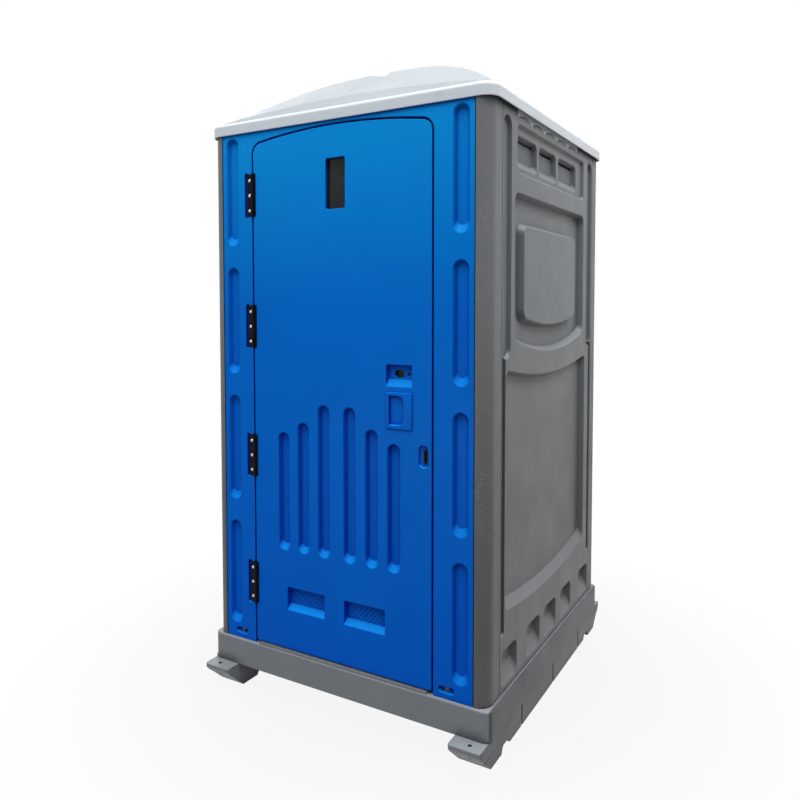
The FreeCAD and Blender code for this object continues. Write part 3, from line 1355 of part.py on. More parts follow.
def door_cores(shoulder):
    """Sealed air spaces inside the leaf, between its two skins, clear of every recess."""
    side = DOOR_X - CORE_EDGE
    y0 = DOOR_FACE + DOOR_SKIN
    y1 = DOOR_BACK - DOOR_SKIN
    vent_low = DOOR_BOTTOM + VENT_RISE
    vent_high = vent_low + VENT_HEIGHT
    flute_low = DOOR_BOTTOM + FLUTE_FOOT
    flute_high = DOOR_BOTTOM + max(rise for offset, rise in FLUTES)
    case_left = CASE_X - CASE_WIDTH / 2
    case_high = LATCH_Z + CASE_HEIGHT / 2
    window_low = WINDOW_Z - WINDOW_HEIGHT / 2 - PANE_MARGIN
    hook_low = HOOK_SCREWS[0][1] - CORE_MARGIN
    window_side = WINDOW_WIDTH / 2 + PANE_MARGIN + CORE_MARGIN
    spans = (
        (-side, side, DOOR_BOTTOM + CORE_MARGIN, vent_low - CORE_MARGIN),
        (-side, side, vent_high + CORE_MARGIN, flute_low - CORE_MARGIN),
        (-side, case_left - CORE_MARGIN, flute_high + CORE_MARGIN, case_high),
        (-side, side, case_high + CORE_MARGIN, hook_low),
        (-side, WINDOW_X - CORE_MARGIN, hook_low + CORE_MARGIN, window_low - CORE_MARGIN),
        (WINDOW_X + CORE_MARGIN, side, hook_low + CORE_MARGIN, window_low - CORE_MARGIN),
        (-side, WINDOW_X - window_side, window_low, shoulder - CORE_MARGIN),
        (WINDOW_X + window_side, side, window_low, shoulder - CORE_MARGIN),
    )
    cores = [box(x0, x1, y0, y1, z0, z1) for x0, x1, z0, z1 in spans if x1 - x0 > 10.0 and z1 - z0 > 10.0]
    return cores


def window_pane():
    back = DOOR_FACE + PANE_SETBACK
    width = WINDOW_WIDTH + 2 * PANE_MARGIN
    height = WINDOW_HEIGHT + 2 * PANE_MARGIN
    return centred("front", WINDOW_X, WINDOW_Z, width, height, 10.0, back, back + PANE_THICKNESS)


def window_frame():
    start = DOOR_FACE + PANE_SETBACK + PANE_THICKNESS
    end = DOOR_BACK
    width = WINDOW_WIDTH + 2 * PANE_MARGIN
    height = WINDOW_HEIGHT + 2 * PANE_MARGIN
    flange_x = width + 2 * WINDOW_FLANGE
    flange_z = height + 2 * WINDOW_FLANGE
    plug = centred("front", WINDOW_X, WINDOW_Z, width, height, 10.0, start, end)
    flange = centred("front", WINDOW_X, WINDOW_Z, flange_x, flange_z, 16.0, end, end + 3)
    hole = centred("front", WINDOW_X, WINDOW_Z, WINDOW_WIDTH, WINDOW_HEIGHT, 6.0, start - 1, end + 4)
    return joined(plug, flange).cut(hole)


def pull_plate():
    """Finger pull: a flange on the door's face with a cup sunk into the door."""
    face = DOOR_FACE
    front = face - PULL_PROUD
    flange = centred("front", PULL_X, PULL_Z, PULL_WIDTH, PULL_HEIGHT, 4.0, front, face)
    flange = flange.makeFillet(2.0, flat_at(flange, "y", front))
    cup = centred("front", CUP_X, CUP_Z, CUP_WIDTH, CUP_HEIGHT, 8.0, face, face + CUP_DEPTH)
    half_x = CUP_WIDTH / 2 - CUP_SKIN
    half_z = CUP_HEIGHT / 2 - CUP_SKIN
    floor = face + CUP_DEPTH - CUP_SKIN
    x0 = CUP_X - half_x
    x1 = CUP_X + half_x
    hollow = dish("front", x0, x1, CUP_Z - half_z, CUP_Z + half_z, 6.0, front, floor, 3.0, CUP_LEDGE)
    return joined(flange, cup).cut(hollow)


def hasp_insert():
    x = HASP_X + HASP_SLOT_SHIFT
    ring = centred("front", x, HASP_Z, HASP_SLOT_WIDTH, HASP_SLOT_HEIGHT, 7.9, DOOR_FACE + 5, HASP_BACK)
    width = HASP_SLOT_WIDTH - 7.0
    height = HASP_SLOT_HEIGHT - 8.0
    return ring.cut(centred("front", x, HASP_Z, width, height, 4.4, DOOR_FACE + 4, HASP_BACK - 3))


def release_screw():
    """Emergency release seen through the small hole, with a coin slot."""
    front = DOOR_FACE + RELEASE_SETBACK
    body = cylinder(RELEASE_RADIUS, (RELEASE_X, front, LATCH_Z), (RELEASE_X, DOOR_BACK, LATCH_Z))
    reach = RELEASE_RADIUS * 0.75
    slot = box(RELEASE_X - reach, RELEASE_X + reach, front - 1, front + 2, LATCH_Z - 1, LATCH_Z + 1)
    return body.cut(slot)


def latch_case():
    shell = centred("front", CASE_X, LATCH_Z, CASE_WIDTH, CASE_HEIGHT, 8.0, DOOR_BACK, CASE_END)
    shell = shell.makeFillet(2.0, flat_at(shell, "y", CASE_END))
    width = CASE_WIDTH - 2 * (CASE_SKIN + 1)
    height = CASE_HEIGHT - 2 * (CASE_SCREW_MARGIN + SCREW_RADIUS + CASE_SKIN)
    inside = centred("front", CASE_X, LATCH_Z, width, height, 6.0, DOOR_BACK, CASE_END - CASE_SKIN)
    case = shell.cut(inside)
    gap = BOLT_WIDTH / 2 + SLIDE_GAP
    y0 = BOLT_Y0 - SLIDE_GAP
    y1 = BOLT_Y1 + SLIDE_GAP
    case = case.cut(box(CASE_RIGHT - 10, CASE_RIGHT + 2, y0, y1, LATCH_Z - gap, LATCH_Z + gap))
    guide = box(CASE_RIGHT - 50, CASE_RIGHT - CASE_SKIN, DOOR_BACK, y0, LATCH_Z - 16, LATCH_Z + 16)
    case = joined(case, guide)
    tools = [latch_axis(SPINDLE_RADIUS + SLIDE_GAP, CASE_END - CASE_SKIN - 1, CASE_END + 1)]
    for x, z in CASE_SCREWS:
        tools.append(cylinder(SCREW_RADIUS, (x, DOOR_BACK - 1, z), (x, CASE_END + 1, z)))
    return case.cut(tools)


def latch_axis(radius, y0, y1):
    return cylinder(radius, (LATCH_X, y0, LATCH_Z), (LATCH_X, y1, LATCH_Z))


def screw(x, y, z, grip):
    """Screw driven along -Y whose head stands on the plane y."""
    shank = cylinder(SCREW_RADIUS, (x, y - grip, z), (x, y, z))
    head = cone(4.5, 3.0, (x, y, z), (x, y + 2.5, z))
    return joined(shank, head)


def case_screws():
    return Part.makeCompound([screw(x, CASE_END, z, CASE_DEPTH + SCREW_GRIP) for x, z in CASE_SCREWS])


def latch_knob():
    """Indicator disc, spindle and inside knob turn as one."""
    start = DOOR_BACK + 1
    disc = latch_axis(DISC_RADIUS, start, start + DISC_THICKNESS)
    spindle = latch_axis(SPINDLE_RADIUS, start + DISC_THICKNESS, CASE_END + 4)
    knob = latch_axis(KNOB_RADIUS, CASE_END + 2, CASE_END + 2 + KNOB_HEIGHT)
    top = CASE_END + 2 + KNOB_HEIGHT
    wing = centred("front", LATCH_X, LATCH_Z, WING_WIDTH, WING_LENGTH, 5.9, top, top + WING_HEIGHT)
    return joined(disc, spindle, knob, wing)


def latch_bolt():
    start = CASE_RIGHT - BOLT_TAIL
    z = LATCH_Z
    half = BOLT_WIDTH / 2
    return rounded_block("front", start, start + BOLT_LENGTH, z - half, z + half, 2.0, BOLT_Y0, BOLT_Y1)


def latch_keeper():
    """Strike on the door stop that the bolt slides behind."""
    plate_end = STOP_BACK + KEEPER_PLATE
    end = KEEPER_END
    half = KEEPER_HEIGHT / 2
    plate = rounded_block("front", KEEPER_X, end, LATCH_Z - half, LATCH_Z + half, 4.0, STOP_BACK, plate_end)
    hood_end = STOP_BACK + KEEPER_DEPTH
    hood = rounded_block("front", KEEPER_X, end - 1, LATCH_Z - 16, LATCH_Z + 16, 3.0, plate_end, hood_end)
    throat = BOLT_WIDTH / 2 + 2
    low = LATCH_Z - throat
    hollow = box(KEEPER_X - 1, end - KEEPER_WALL, BOLT_Y0 - 1, BOLT_Y1 + 1, low, low + 2 * throat)
    keeper = joined(plate, hood).cut(hollow)
    for x, z in KEEPER_SCREWS:
        keeper = keeper.cut(cylinder(SCREW_RADIUS, (x, STOP_BACK - 1, z), (x, plate_end + 1, z)))
    return keeper


def keeper_screws():
    plate_end = STOP_BACK + KEEPER_PLATE
    grip = KEEPER_PLATE + KEEPER_SCREW_GRIP
    return Part.makeCompound([screw(x, plate_end, z, grip) for x, z in KEEPER_SCREWS])


def inner_handle():
    x = HANDLE_X
    low, high = HANDLE_LEVELS
    out = DOOR_BACK + HANDLE_STAND
    route = [(x, DOOR_BACK, low), (x, out, low), (x, out, high), (x, DOOR_BACK, high)]
    grip = hose(route, HANDLE_RADIUS, 0, 20.0)
    feet = [centred("front", HANDLE_X, z, 32.0, 44.0, 8.0, DOOR_BACK, DOOR_BACK + 4) for z in HANDLE_LEVELS]
    return joined(grip, *feet)


def coat_hook():
    x = WINDOW_X
    low = HOOK_SCREWS[0][1]
    high = HOOK_SCREWS[1][1] + 8.0
    out = DOOR_BACK + HOOK_REACH
    plate = centred("front", x, HOOK_Z, 28.0, 60.0, 6.0, DOOR_BACK, DOOR_BACK + 4)
    arm = hose([(x, DOOR_BACK + 2, low), (x, out, low), (x, out, high)], HOOK_RADIUS, 0, 12.0)
    tip = Part.makeSphere(HOOK_RADIUS + 3, V(x, out, high + 2))
    return joined(plate, arm, tip)


def door_sill():
    reach = STOP_HOLE_X - SILL_GAP
    front = -TRAY_DEPTH / 2 + SILL_SETBACK
    top = TRAY_TOP + SILL_HEIGHT
    sill = box(-reach, reach, front, front + SILL_DEPTH, TRAY_TOP, top)
    ribs = []
    for start in SILL_RIBS:
        y = front + start
        ribs.append(box(-reach + 6, reach - 6, y, y + 3, top, top + SILL_RIB))
    return joined(sill, *ribs)


def arch_face(points, right, y, floor, drop=0.0, inset=0.0):
    """Closed face across the cabin: a smooth arch on top, straight sides down to floor."""
    reach = RIM_X - ROOF_EDGE - inset
    left_side = [(-share * reach, RIM_TOP + rise - drop) for share, rise in reversed(points[1:])]
    right_side = [(share * reach, RIM_TOP + rise - drop) for share, rise in right]
    outline = left_side + right_side
    poles = [V(x, y, z) for x, z in outline]
    curve = Part.BSplineCurve()
    curve.interpolate(poles)
    first = V(poles[0].x, y, floor)
    last = V(poles[-1].x, y, floor)
    sides = [Part.makeLine(poles[-1], last), Part.makeLine(last, first), Part.makeLine(first, poles[0])]
    return Part.Face(Part.Wire([curve.toShape()] + sides))


def dome(drop, inset, base):
    """Swollen roof: an arched ridge whose ends fall in slopes that follow a lower arch."""
    reach = RIM_Y + 70.0
    ridge = arch_face(BLOCK_ARCH, BLOCK_RIGHT_ARCH, -reach, base, drop, inset).extrude(V(0, 2 * reach, 0))
    run = 2 * CREASE_Y + 200.0
    slope = arch_face(CREASE_ARCH, CREASE_ARCH, -CREASE_Y + inset, base - run, drop, inset)
    rise = slope.extrude(V(0, run, run * BLOCK_SLOPE))
    return ridge.common(rise).common(mirrored(rise, "y"))


def low_cap(drop, inset, base):
    """Arched cap with steeper ends that carries the swollen part."""
    reach = RIM_Y + 70.0
    arch = arch_face(CREASE_ARCH, CREASE_ARCH, -reach, base, drop, inset).extrude(V(0, 2 * reach, 0))
    crown = RIM_TOP + CREASE_ARCH[0][1]
    top = crown + 20.0
    foot = CREASE_Y + (crown - base) / FASCIA_SLOPE - inset
    run = (top - base) / FASCIA_SLOPE
    section = [(-foot, base), (foot, base), (foot - run, top), (-foot + run, top)]
    wedge = prism("side", polygon("side", section, -RIM_X), 2 * RIM_X)
    return arch.common(wedge)


def trough_face(rise, y, floor, skin):
    """Closed face across the trough: a straight top that sinks towards the right field."""
    half = TROUGH_WIDTH / 2 + skin
    top = RIM_TOP + rise - skin
    corners = [
        (TROUGH_X - half, top - TROUGH_LEFT_DEPTH),
        (TROUGH_X + half, top - TROUGH_RIGHT_DEPTH),
        (TROUGH_X + half, floor),
        (TROUGH_X - half, floor),
    ]
    return Part.Face(polygon("front", corners, y))


def trough(skin, base):
    """Lower middle of the swollen part, with the same ends as the fields beside it."""
    reach = RIM_Y + 70.0
    run = 2 * CREASE_Y + 200.0
    ridge = trough_face(BLOCK_ARCH[0][1], -reach, base, skin).extrude(V(0, 2 * reach, 0))
    slope = trough_face(CREASE_ARCH[0][1], -CREASE_Y + skin, base - run, skin)
    rise = slope.extrude(V(0, run, run * BLOCK_SLOPE))
    return ridge.common(rise).common(mirrored(rise, "y"))


def swelling(skin):
    """Both raised fields of the roof with the shallow trough between them."""
    half = TROUGH_WIDTH / 2 + skin
    reach = RIM_Y + 70.0
    column = box(TROUGH_X - half, TROUGH_X + half, -reach, reach, WALL_TOP - 20, ROOF_CREST + 60)
    base = RIM_TOP - 4 if skin == 0 else WALL_TOP - 1
    return joined(
        low_cap(skin, skin, base),
        dome(skin, skin, base).cut(column),
        trough(skin, base),
    )


def roof():
    rim = rounded_block("plan", -RIM_X, RIM_X, -RIM_Y, RIM_Y, RIM_CORNER, RIM_BOTTOM, RIM_TOP)
    rim = rim.makeFillet(RIM_EDGE, flat_at(rim, "z", RIM_TOP))
    skin = ROOF_SKIN
    x = RIM_X - skin
    y = RIM_Y - skin
    throat = rounded_block("plan", -x, x, -y, y, RIM_CORNER - skin, RIM_BOTTOM, WALL_TOP)
    inside_x = INNER_X - ROOF_SEAT
    inside_y = INNER_Y - ROOF_SEAT
    attic = box(-inside_x, inside_x, -inside_y, inside_y, WALL_TOP - 1, ROOF_CREST)
    cavity = swelling(skin).common(attic)
    shell = joined(rim, swelling(0.0)).cut([throat, cavity])
    return shell.cut(pipe_axis(PIPE_RADIUS + PIPE_ROOF_GAP, RIM_BOTTOM, ROOF_CREST + 60))


def tank_section(inset):
    """Side view of the waste tank, drawn in by inset."""
    return [
        (TANK_FRONT + TANK_TOE + inset, TRAY_TOP + inset),
        (TANK_BACK - inset, TRAY_TOP + inset),
        (TANK_BACK - inset, TANK_TOP - inset),
        (TANK_FRONT + inset, TANK_TOP - inset),
        (TANK_FRONT + inset, TANK_TOP - TANK_NOSE),
    ]


def tank_block(inset):
    """The tank's outside, or with an inset the space inside its skin."""
    reach = TANK_X - inset
    body = prism("side", polygon("side", tank_section(inset), -reach), 2 * reach)
    toe = TANK_FRONT + TANK_TOE + inset + 1
    edges = []
    for edge in body.Edges:
        points = [v.Point for v in edge.Vertexes]
        upper = all(p.z > TANK_TOP - inset - 0.01 or p.y < toe for p in points)
        on_floor = all(abs(p.z - TRAY_TOP - inset) < 0.01 for p in points)
        if upper and not on_floor:
            edges.append(edge)
    return body.makeFillet(TANK_EDGE - inset, edges)


def waste_tank():
    low = TANK_TOP - 20
    high = TANK_TOP + 1
    hole = HOSE_RADIUS + 2
    left = URINAL_DRAIN_X - INNER_X
    right = INNER_X - BASIN_DRAIN_X
    tools = [
        tank_block(TANK_SKIN),
        oval(CHUTE_WIDTH + CHUTE_HOLE_GAP, CHUTE_LENGTH + CHUTE_HOLE_GAP, SEAT_Y, low, high),
        pipe_axis(PIPE_RADIUS, low, high),
        cylinder(hole, (left, URINAL_DROP_Y, low), (left, URINAL_DROP_Y, high)),
        cylinder(hole, (right, BASIN_DROP_Y, low), (right, BASIN_DROP_Y, high)),
    ]
    return tank_block(0.0).cut(tools)


def oval_wire(rx, ry, y, z):
    wire = Part.Wire(Part.Ellipse(V(0, y, z), max(rx, ry), min(rx, ry)).toShape())
    if ry > rx:
        wire.rotate(V(0, y, z), V(0, 0, 1), 90)
    return wire


def oval(rx, ry, y, z0, z1):
    return Part.Face(oval_wire(rx, ry, y, z0)).extrude(V(0, 0, z1 - z0))


def oval_sleeve(shrink, z0, z1, taper):
    wide = oval_wire(CHUTE_WIDTH - shrink, CHUTE_LENGTH - shrink, SEAT_Y, z1)
    slim = oval_wire(CHUTE_WIDTH - shrink - taper, CHUTE_LENGTH - shrink - taper, SEAT_Y, z0)
    return Part.makeLoft([wide, slim], True, True)


def seat_chute():
    """Drop chute: a flange on the deck and a tapering oval sleeve under the seat."""
    top = TANK_TOP + CHUTE_FLANGE_THICKNESS
    low = TANK_TOP - CHUTE_DROP
    flange = oval(CHUTE_FLANGE_WIDTH, CHUTE_FLANGE_LENGTH, SEAT_Y, TANK_TOP, top)
    sleeve = oval_sleeve(0.0, low, top, CHUTE_TAPER)
    bore = oval_sleeve(CHUTE_SKIN, low - 1, top + 1, CHUTE_TAPER)
    return joined(flange, sleeve).cut(bore)


def seat_axis(radius, x0, x1):
    return cylinder(radius, (x0, SEAT_HINGE_Y, SEAT_HINGE_Z), (x1, SEAT_HINGE_Y, SEAT_HINGE_Z))


def seat_bore():
    return seat_axis(ROD_RADIUS + ROD_CLEARANCE, -SEAT_POST_X, SEAT_POST_X)


def seat_blank(z0, thickness, edge):
    z1 = z0 + thickness
    blank = oval(SEAT_HALF_WIDTH, SEAT_HALF_LENGTH, SEAT_Y, z0, z1)
    return blank.makeFillet(edge, [e for e in flat_at(blank, "z", z1) if e.Length > 50])


def seat_ring():
    z0 = TANK_TOP + SEAT_LIFT
    ring = seat_blank(z0, SEAT_THICKNESS, 7.0)
    ring = ring.cut(oval(SEAT_HOLE_WIDTH, SEAT_HOLE_LENGTH, SEAT_Y, z0 - 1, z0 + SEAT_THICKNESS + 1))
    extras = []
    for x in (-138.0, 138.0):
        for y in (SEAT_Y - 104.0, SEAT_Y + 104.0):
            extras.append(cylinder(8.0, (x, y, TANK_TOP), (x, y, z0 + 1)))
    half = EYE_WIDTH / 2
    for x in (-RING_EYE_X, RING_EYE_X):
        start = SEAT_Y + SEAT_HALF_LENGTH - 50
        arm = box(x - half, x + half, start, SEAT_HINGE_Y, z0 + 4, z0 + 16)
        link = box(x - half, x + half, SEAT_HINGE_Y - EYE_RADIUS, SEAT_HINGE_Y, z0 + 4, SEAT_HINGE_Z)
        extras.append(joined(arm, link, seat_axis(EYE_RADIUS, x - half, x + half)))
    return joined(ring, *extras).cut(seat_bore())


def seat_lid():
    """Lid in its rest position, raised and leaning back."""
    z0 = TANK_TOP + SEAT_LIFT + SEAT_THICKNESS + LID_GAP
    lid = seat_blank(z0, LID_THICKNESS, 6.0)
    extras = []
    half = EYE_WIDTH / 2
    for x in (-LID_EYE_X, LID_EYE_X):
        start = SEAT_Y + SEAT_HALF_LENGTH - 25
        arm = box(x - half, x + half, start, SEAT_HINGE_Y + 4, z0, z0 + LID_THICKNESS)
        extras.append(joined(arm, seat_axis(EYE_RADIUS, x - half, x + half)))
    for x in (-140.0, 140.0):
        for y in (SEAT_Y - 60.0, SEAT_Y + 60.0):
            extras.append(cylinder(7.0, (x, y, z0 - LID_GAP), (x, y, z0 + 1)))
    lid = joined(lid, *extras).cut(seat_bore())
    lid.rotate(V(0, SEAT_HINGE_Y, SEAT_HINGE_Z), V(-1, 0, 0), LID_OPEN)
    return lid


def seat_hinge():
    half = SEAT_POST_WIDTH / 2
    pieces = [seat_axis(ROD_RADIUS, -SEAT_POST_X - 10, SEAT_POST_X + 10)]
    for x in (-SEAT_POST_X, SEAT_POST_X):
        foot = centred("plan", x, SEAT_HINGE_Y, 32.0, 36.0, 6.0, TANK_TOP, TANK_TOP + 5)
        y = SEAT_HINGE_Y
        stem = box(x - half, x + half, y - EYE_RADIUS, y + EYE_RADIUS, TANK_TOP, SEAT_HINGE_Z)
        pieces.append(joined(foot, stem, seat_axis(EYE_RADIUS, x - half, x + half)))
    return joined(*pieces)


def pipe_axis(radius, z0, z1):
    return cylinder(radius, (PIPE_X, PIPE_Y, z0), (PIPE_X, PIPE_Y, z1))


def vent_pipe():
    foot = TANK_TOP - PIPE_DIP
    pipe = pipe_axis(PIPE_RADIUS, foot, PIPE_TOP)
    collar = pipe_axis(PIPE_RADIUS + 10, TANK_TOP, TANK_TOP + 8)
    return joined(pipe, collar).cut(pipe_axis(PIPE_RADIUS - PIPE_SKIN, foot - 1, PIPE_TOP + 1))


def vent_cap():
    """Rain hood on a cross that stands in the mouth of the pipe."""
    low = PIPE_TOP - HOOD_GAP
    brim = PIPE_TOP + HOOD_GAP
    top = brim + HOOD_HEIGHT
    hood = cone(PIPE_RADIUS + HOOD_OVERHANG, 20.0, (PIPE_X, PIPE_Y, brim), (PIPE_X, PIPE_Y, top))
    reach = PIPE_RADIUS
    cross = joined(
        box(PIPE_X - reach, PIPE_X + reach, PIPE_Y - 2, PIPE_Y + 2, low, brim + 2),
        box(PIPE_X - 2, PIPE_X + 2, PIPE_Y - reach, PIPE_Y + reach, low, brim + 2),
    )
    return joined(hood, cross.common(pipe_axis(PIPE_RADIUS - PIPE_SKIN, low, brim + 4)))


def urinal():
    """Corner-free wall bowl on a back plate, open at the bottom through a short drain."""
    wall = -INNER_X
    y0 = URINAL_Y - URINAL_WIDTH / 2
    y1 = URINAL_Y + URINAL_WIDTH / 2
    low = URINAL_Z
    rim = low + URINAL_BOWL_HEIGHT
    plate_top = low + URINAL_BACK_HEIGHT
    half = URINAL_BACK_WIDTH / 2
    plate_end = wall + URINAL_BACK_THICKNESS
    back = rounded_block("side", URINAL_Y - half, URINAL_Y + half, low, plate_top, 60.0, wall, plate_end)
    lip = rounded_block("plan", wall, wall + URINAL_REACH, y0, y1, 90.0, low, rim)
    foot = Part.makeLoft([
        rounded_wire("plan", wall, wall + URINAL_REACH, y0, y1, 90.0, low),
        rounded_wire("plan", wall, wall + 90, URINAL_Y - 40, URINAL_Y + 40, 38.0, low - URINAL_FUNNEL),
    ], True, True)
    skin = URINAL_SKIN
    hollow = Part.makeLoft([
        rounded_wire("plan", plate_end, wall + URINAL_REACH - skin, y0 + skin, y1 - skin, 82.0, rim + 1),
        rounded_wire("plan", plate_end, wall + 130, URINAL_Y - 60, URINAL_Y + 60, 50.0, low - 20),
    ], True, True)
    x = wall + URINAL_DRAIN_X
    drain = cylinder(HOSE_RADIUS, (x, URINAL_Y, low - URINAL_FUNNEL - 10), (x, URINAL_Y, low - 15))
    return joined(back, lip, foot).cut([hollow, drain])


def urinal_hose():
    x = URINAL_DRAIN_X - INNER_X
    level = TANK_TOP + HOSE_OVER_TANK
    start = URINAL_Z - URINAL_FUNNEL + 10
    end = TANK_TOP - HOSE_DIP
    route = [(x, URINAL_Y, start), (x, URINAL_Y, level), (x, URINAL_DROP_Y, level), (x, URINAL_DROP_Y, end)]
    return hose(route, HOSE_RADIUS, HOSE_RADIUS - HOSE_SKIN, HOSE_BEND)


def water_tank():
    wall = INNER_X
    left = wall - WATER_TANK_WIDTH
    skin = WATER_TANK_SKIN
    y0 = WATER_TANK_Y - WATER_TANK_DEPTH / 2
    y1 = WATER_TANK_Y + WATER_TANK_DEPTH / 2
    body = rounded_block("plan", left, wall, y0, y1, 24.0, TRAY_TOP, BASIN_BOTTOM)
    low = TRAY_TOP + skin
    high = BASIN_BOTTOM - skin
    cavity = rounded_block("plan", left + skin, wall - skin, y0 + skin, y1 - skin, 24.0 - skin, low, high)
    inlet = tap_axis(high - 1, BASIN_BOTTOM + 1)
    outlet = cylinder(7.0, (left - 1, PUMP_Y, PUMP_Z), (left + skin + 1, PUMP_Y, PUMP_Z))
    return body.cut([cavity, inlet, outlet])


def basin():
    """Wash basin with a bowl whose floor falls to the drain."""
    wall = INNER_X
    left = wall - BASIN_WIDTH
    deck = rounded_block("plan", left, wall, BASIN_FRONT, BASIN_REAR, 40.0, BASIN_BOTTOM, BASIN_TOP)
    deck = deck.makeFillet(8.0, flat_at(deck, "z", BASIN_TOP))
    top = BASIN_TOP + BASIN_SPLASH
    splash = rounded_block("side", BASIN_FRONT, BASIN_REAR, BASIN_BOTTOM + 20, top, 30.0, wall - 10, wall)
    x = wall - BASIN_DRAIN_X
    y = BASIN_DRAIN_Y
    hollow = Part.makeLoft([
        rounded_wire("plan", left + 18, wall - 70, BASIN_FRONT + 20, BASIN_REAR - 40, 60.0, BASIN_TOP + 1),
        rounded_wire("plan", x - 40, x + 45, y - 115, y + 25, 25.0, BASIN_BOTTOM + 12),
    ], True, True)
    drain = cylinder(HOSE_RADIUS, (x, y, BASIN_BOTTOM - 1), (x, y, BASIN_BOTTOM + 20))
    return joined(deck, splash).cut([hollow, drain, tap_axis(BASIN_BOTTOM - 1, BASIN_TOP + 1)])


def tap_axis(z0, z1):
    return cylinder(TAP_RADIUS + 1, (TAP_X, WATER_TANK_Y, z0), (TAP_X, WATER_TANK_Y, z1))


def basin_hose():
    x = INNER_X - BASIN_DRAIN_X
    y = BASIN_DRAIN_Y
    level = TANK_TOP + HOSE_OVER_TANK + 10
    start = BASIN_BOTTOM + 10
    end = TANK_TOP - HOSE_DIP
    route = [(x, y, start), (x, y, level), (x, BASIN_DROP_Y, level), (x, BASIN_DROP_Y, end)]
    return hose(route, HOSE_RADIUS, HOSE_RADIUS - HOSE_SKIN, HOSE_BEND)


def faucet():
    x = TAP_X
    y = WATER_TANK_Y
    top = BASIN_TOP + TAP_HEIGHT
    tip = x - TAP_REACH
    route = [(x, y, BASIN_TOP), (x, y, top), (tip, y, top), (tip, y, top - TAP_DROP)]
    spout = hose(route, TAP_RADIUS, 0, 24.0)
    base = cylinder(18.0, (x, y, BASIN_TOP), (x, y, BASIN_TOP + 10))
    stem = tap_axis(BASIN_BOTTOM - WATER_TANK_SKIN, BASIN_TOP + 4)
    return joined(spout, base, stem)


def mirror_tray():
    wall = INNER_X
    tray = centred("side", MIRROR_Y, MIRROR_Z, MIRROR_WIDTH, MIRROR_HEIGHT, 20.0, wall - MIRROR_TRAY, wall)
    width = MIRROR_WIDTH - 2 * MIRROR_BORDER
    height = MIRROR_HEIGHT - 2 * MIRROR_BORDER
    floor = wall - MIRROR_TRAY + MIRROR_GLASS + 1
    return tray.cut(centred("side", MIRROR_Y, MIRROR_Z, width, height, 12.0, wall - MIRROR_TRAY - 1, floor))


def mirror():
    width = MIRROR_WIDTH - 2 * MIRROR_BORDER
    height = MIRROR_HEIGHT - 2 * MIRROR_BORDER
    back = INNER_X - MIRROR_TRAY + MIRROR_GLASS + 1
    return centred("side", MIRROR_Y, MIRROR_Z, width, height, 12.0, back - MIRROR_GLASS, back)


def roll_axis(radius, reach):
    return cylinder(radius, (ROLL_X, ROLL_Y - reach, ROLL_Z), (ROLL_X, ROLL_Y + reach, ROLL_Z))


def paper_holder():
    wall = -INNER_X
    inner = ROLL_WIDTH / 2 + ROLL_ARM_GAP
    plate = centred("side", ROLL_Y, ROLL_Z, 2 * inner + 24, 80.0, 10.0, wall, wall + 6)
    arms = []
    for y in (ROLL_Y - inner - 6, ROLL_Y + inner):
        arms.append(box(wall, ROLL_X + 16, y, y + 6, ROLL_Z - 14, ROLL_Z + 14))
    return joined(plate, roll_axis(ROLL_BORE - ROLL_CLEARANCE, inner + 2), *arms)


def paper_roll():
    half = ROLL_WIDTH / 2
    return roll_axis(ROLL_RADIUS, half).cut(roll_axis(ROLL_BORE, half + 1))


def pedal_axis(radius, reach):
    y = PEDAL_HINGE_Y
    return cylinder(radius, (PUMP_X - reach, y, PEDAL_HINGE_Z), (PUMP_X + reach, y, PEDAL_HINGE_Z))


def foot_pump():
    half = PEDAL_WIDTH / 2 + 12
    front = PEDAL_HINGE_Y - 20
    rear = PUMP_Y + PUMP_BARREL_RADIUS + 24
    top = TRAY_TOP + PUMP_BASE
    base = rounded_block("plan", PUMP_X - half, PUMP_X + half, front, rear, 10.0, TRAY_TOP, top)
    barrel_top = TRAY_TOP + PUMP_BARREL_HEIGHT
    barrel = cylinder(PUMP_BARREL_RADIUS, (PUMP_X, PUMP_Y, TRAY_TOP), (PUMP_X, PUMP_Y, barrel_top))
    spigot = cylinder(7.0, (PUMP_X, PUMP_Y, PUMP_Z), (PUMP_X + PUMP_BARREL_RADIUS + 14, PUMP_Y, PUMP_Z))
    ears = []
    for x in (PUMP_X - half + 4, PUMP_X + half - 10):
        y = PEDAL_HINGE_Y
        stem = box(x, x + 6, y - 10, y + 10, TRAY_TOP, PEDAL_HINGE_Z)
        eye = cylinder(10.0, (x, y, PEDAL_HINGE_Z), (x + 6, y, PEDAL_HINGE_Z))
        ears.append(joined(stem, eye))
    pin = pedal_axis(PEDAL_PIN_RADIUS, half - 2)
    return joined(base, barrel, spigot, pin, *ears)


def pump_pedal():
    """Treadle raised ready to be pressed."""
    half = PEDAL_WIDTH / 2
    low = PEDAL_HINGE_Z - PEDAL_THICKNESS / 2
    high = low + PEDAL_THICKNESS
    y0 = PEDAL_HINGE_Y - 2
    plate = rounded_block("plan", PUMP_X - half, PUMP_X + half, y0, y0 + PEDAL_LENGTH, 8.0, low, high)
    ribs = []
    for index in range(5):
        y = PEDAL_HINGE_Y + 40 + index * 18
        ribs.append(box(PUMP_X - half + 6, PUMP_X + half - 6, y, y + 6, high, high + 2))
    pedal = joined(plate, pedal_axis(8.0, half), *ribs)
    pedal = pedal.cut(pedal_axis(PEDAL_PIN_RADIUS + PEDAL_CLEARANCE, half + 12))
    pedal.rotate(V(PUMP_X, PEDAL_HINGE_Y, PEDAL_HINGE_Z), V(1, 0, 0), PEDAL_REST)
    return pedal


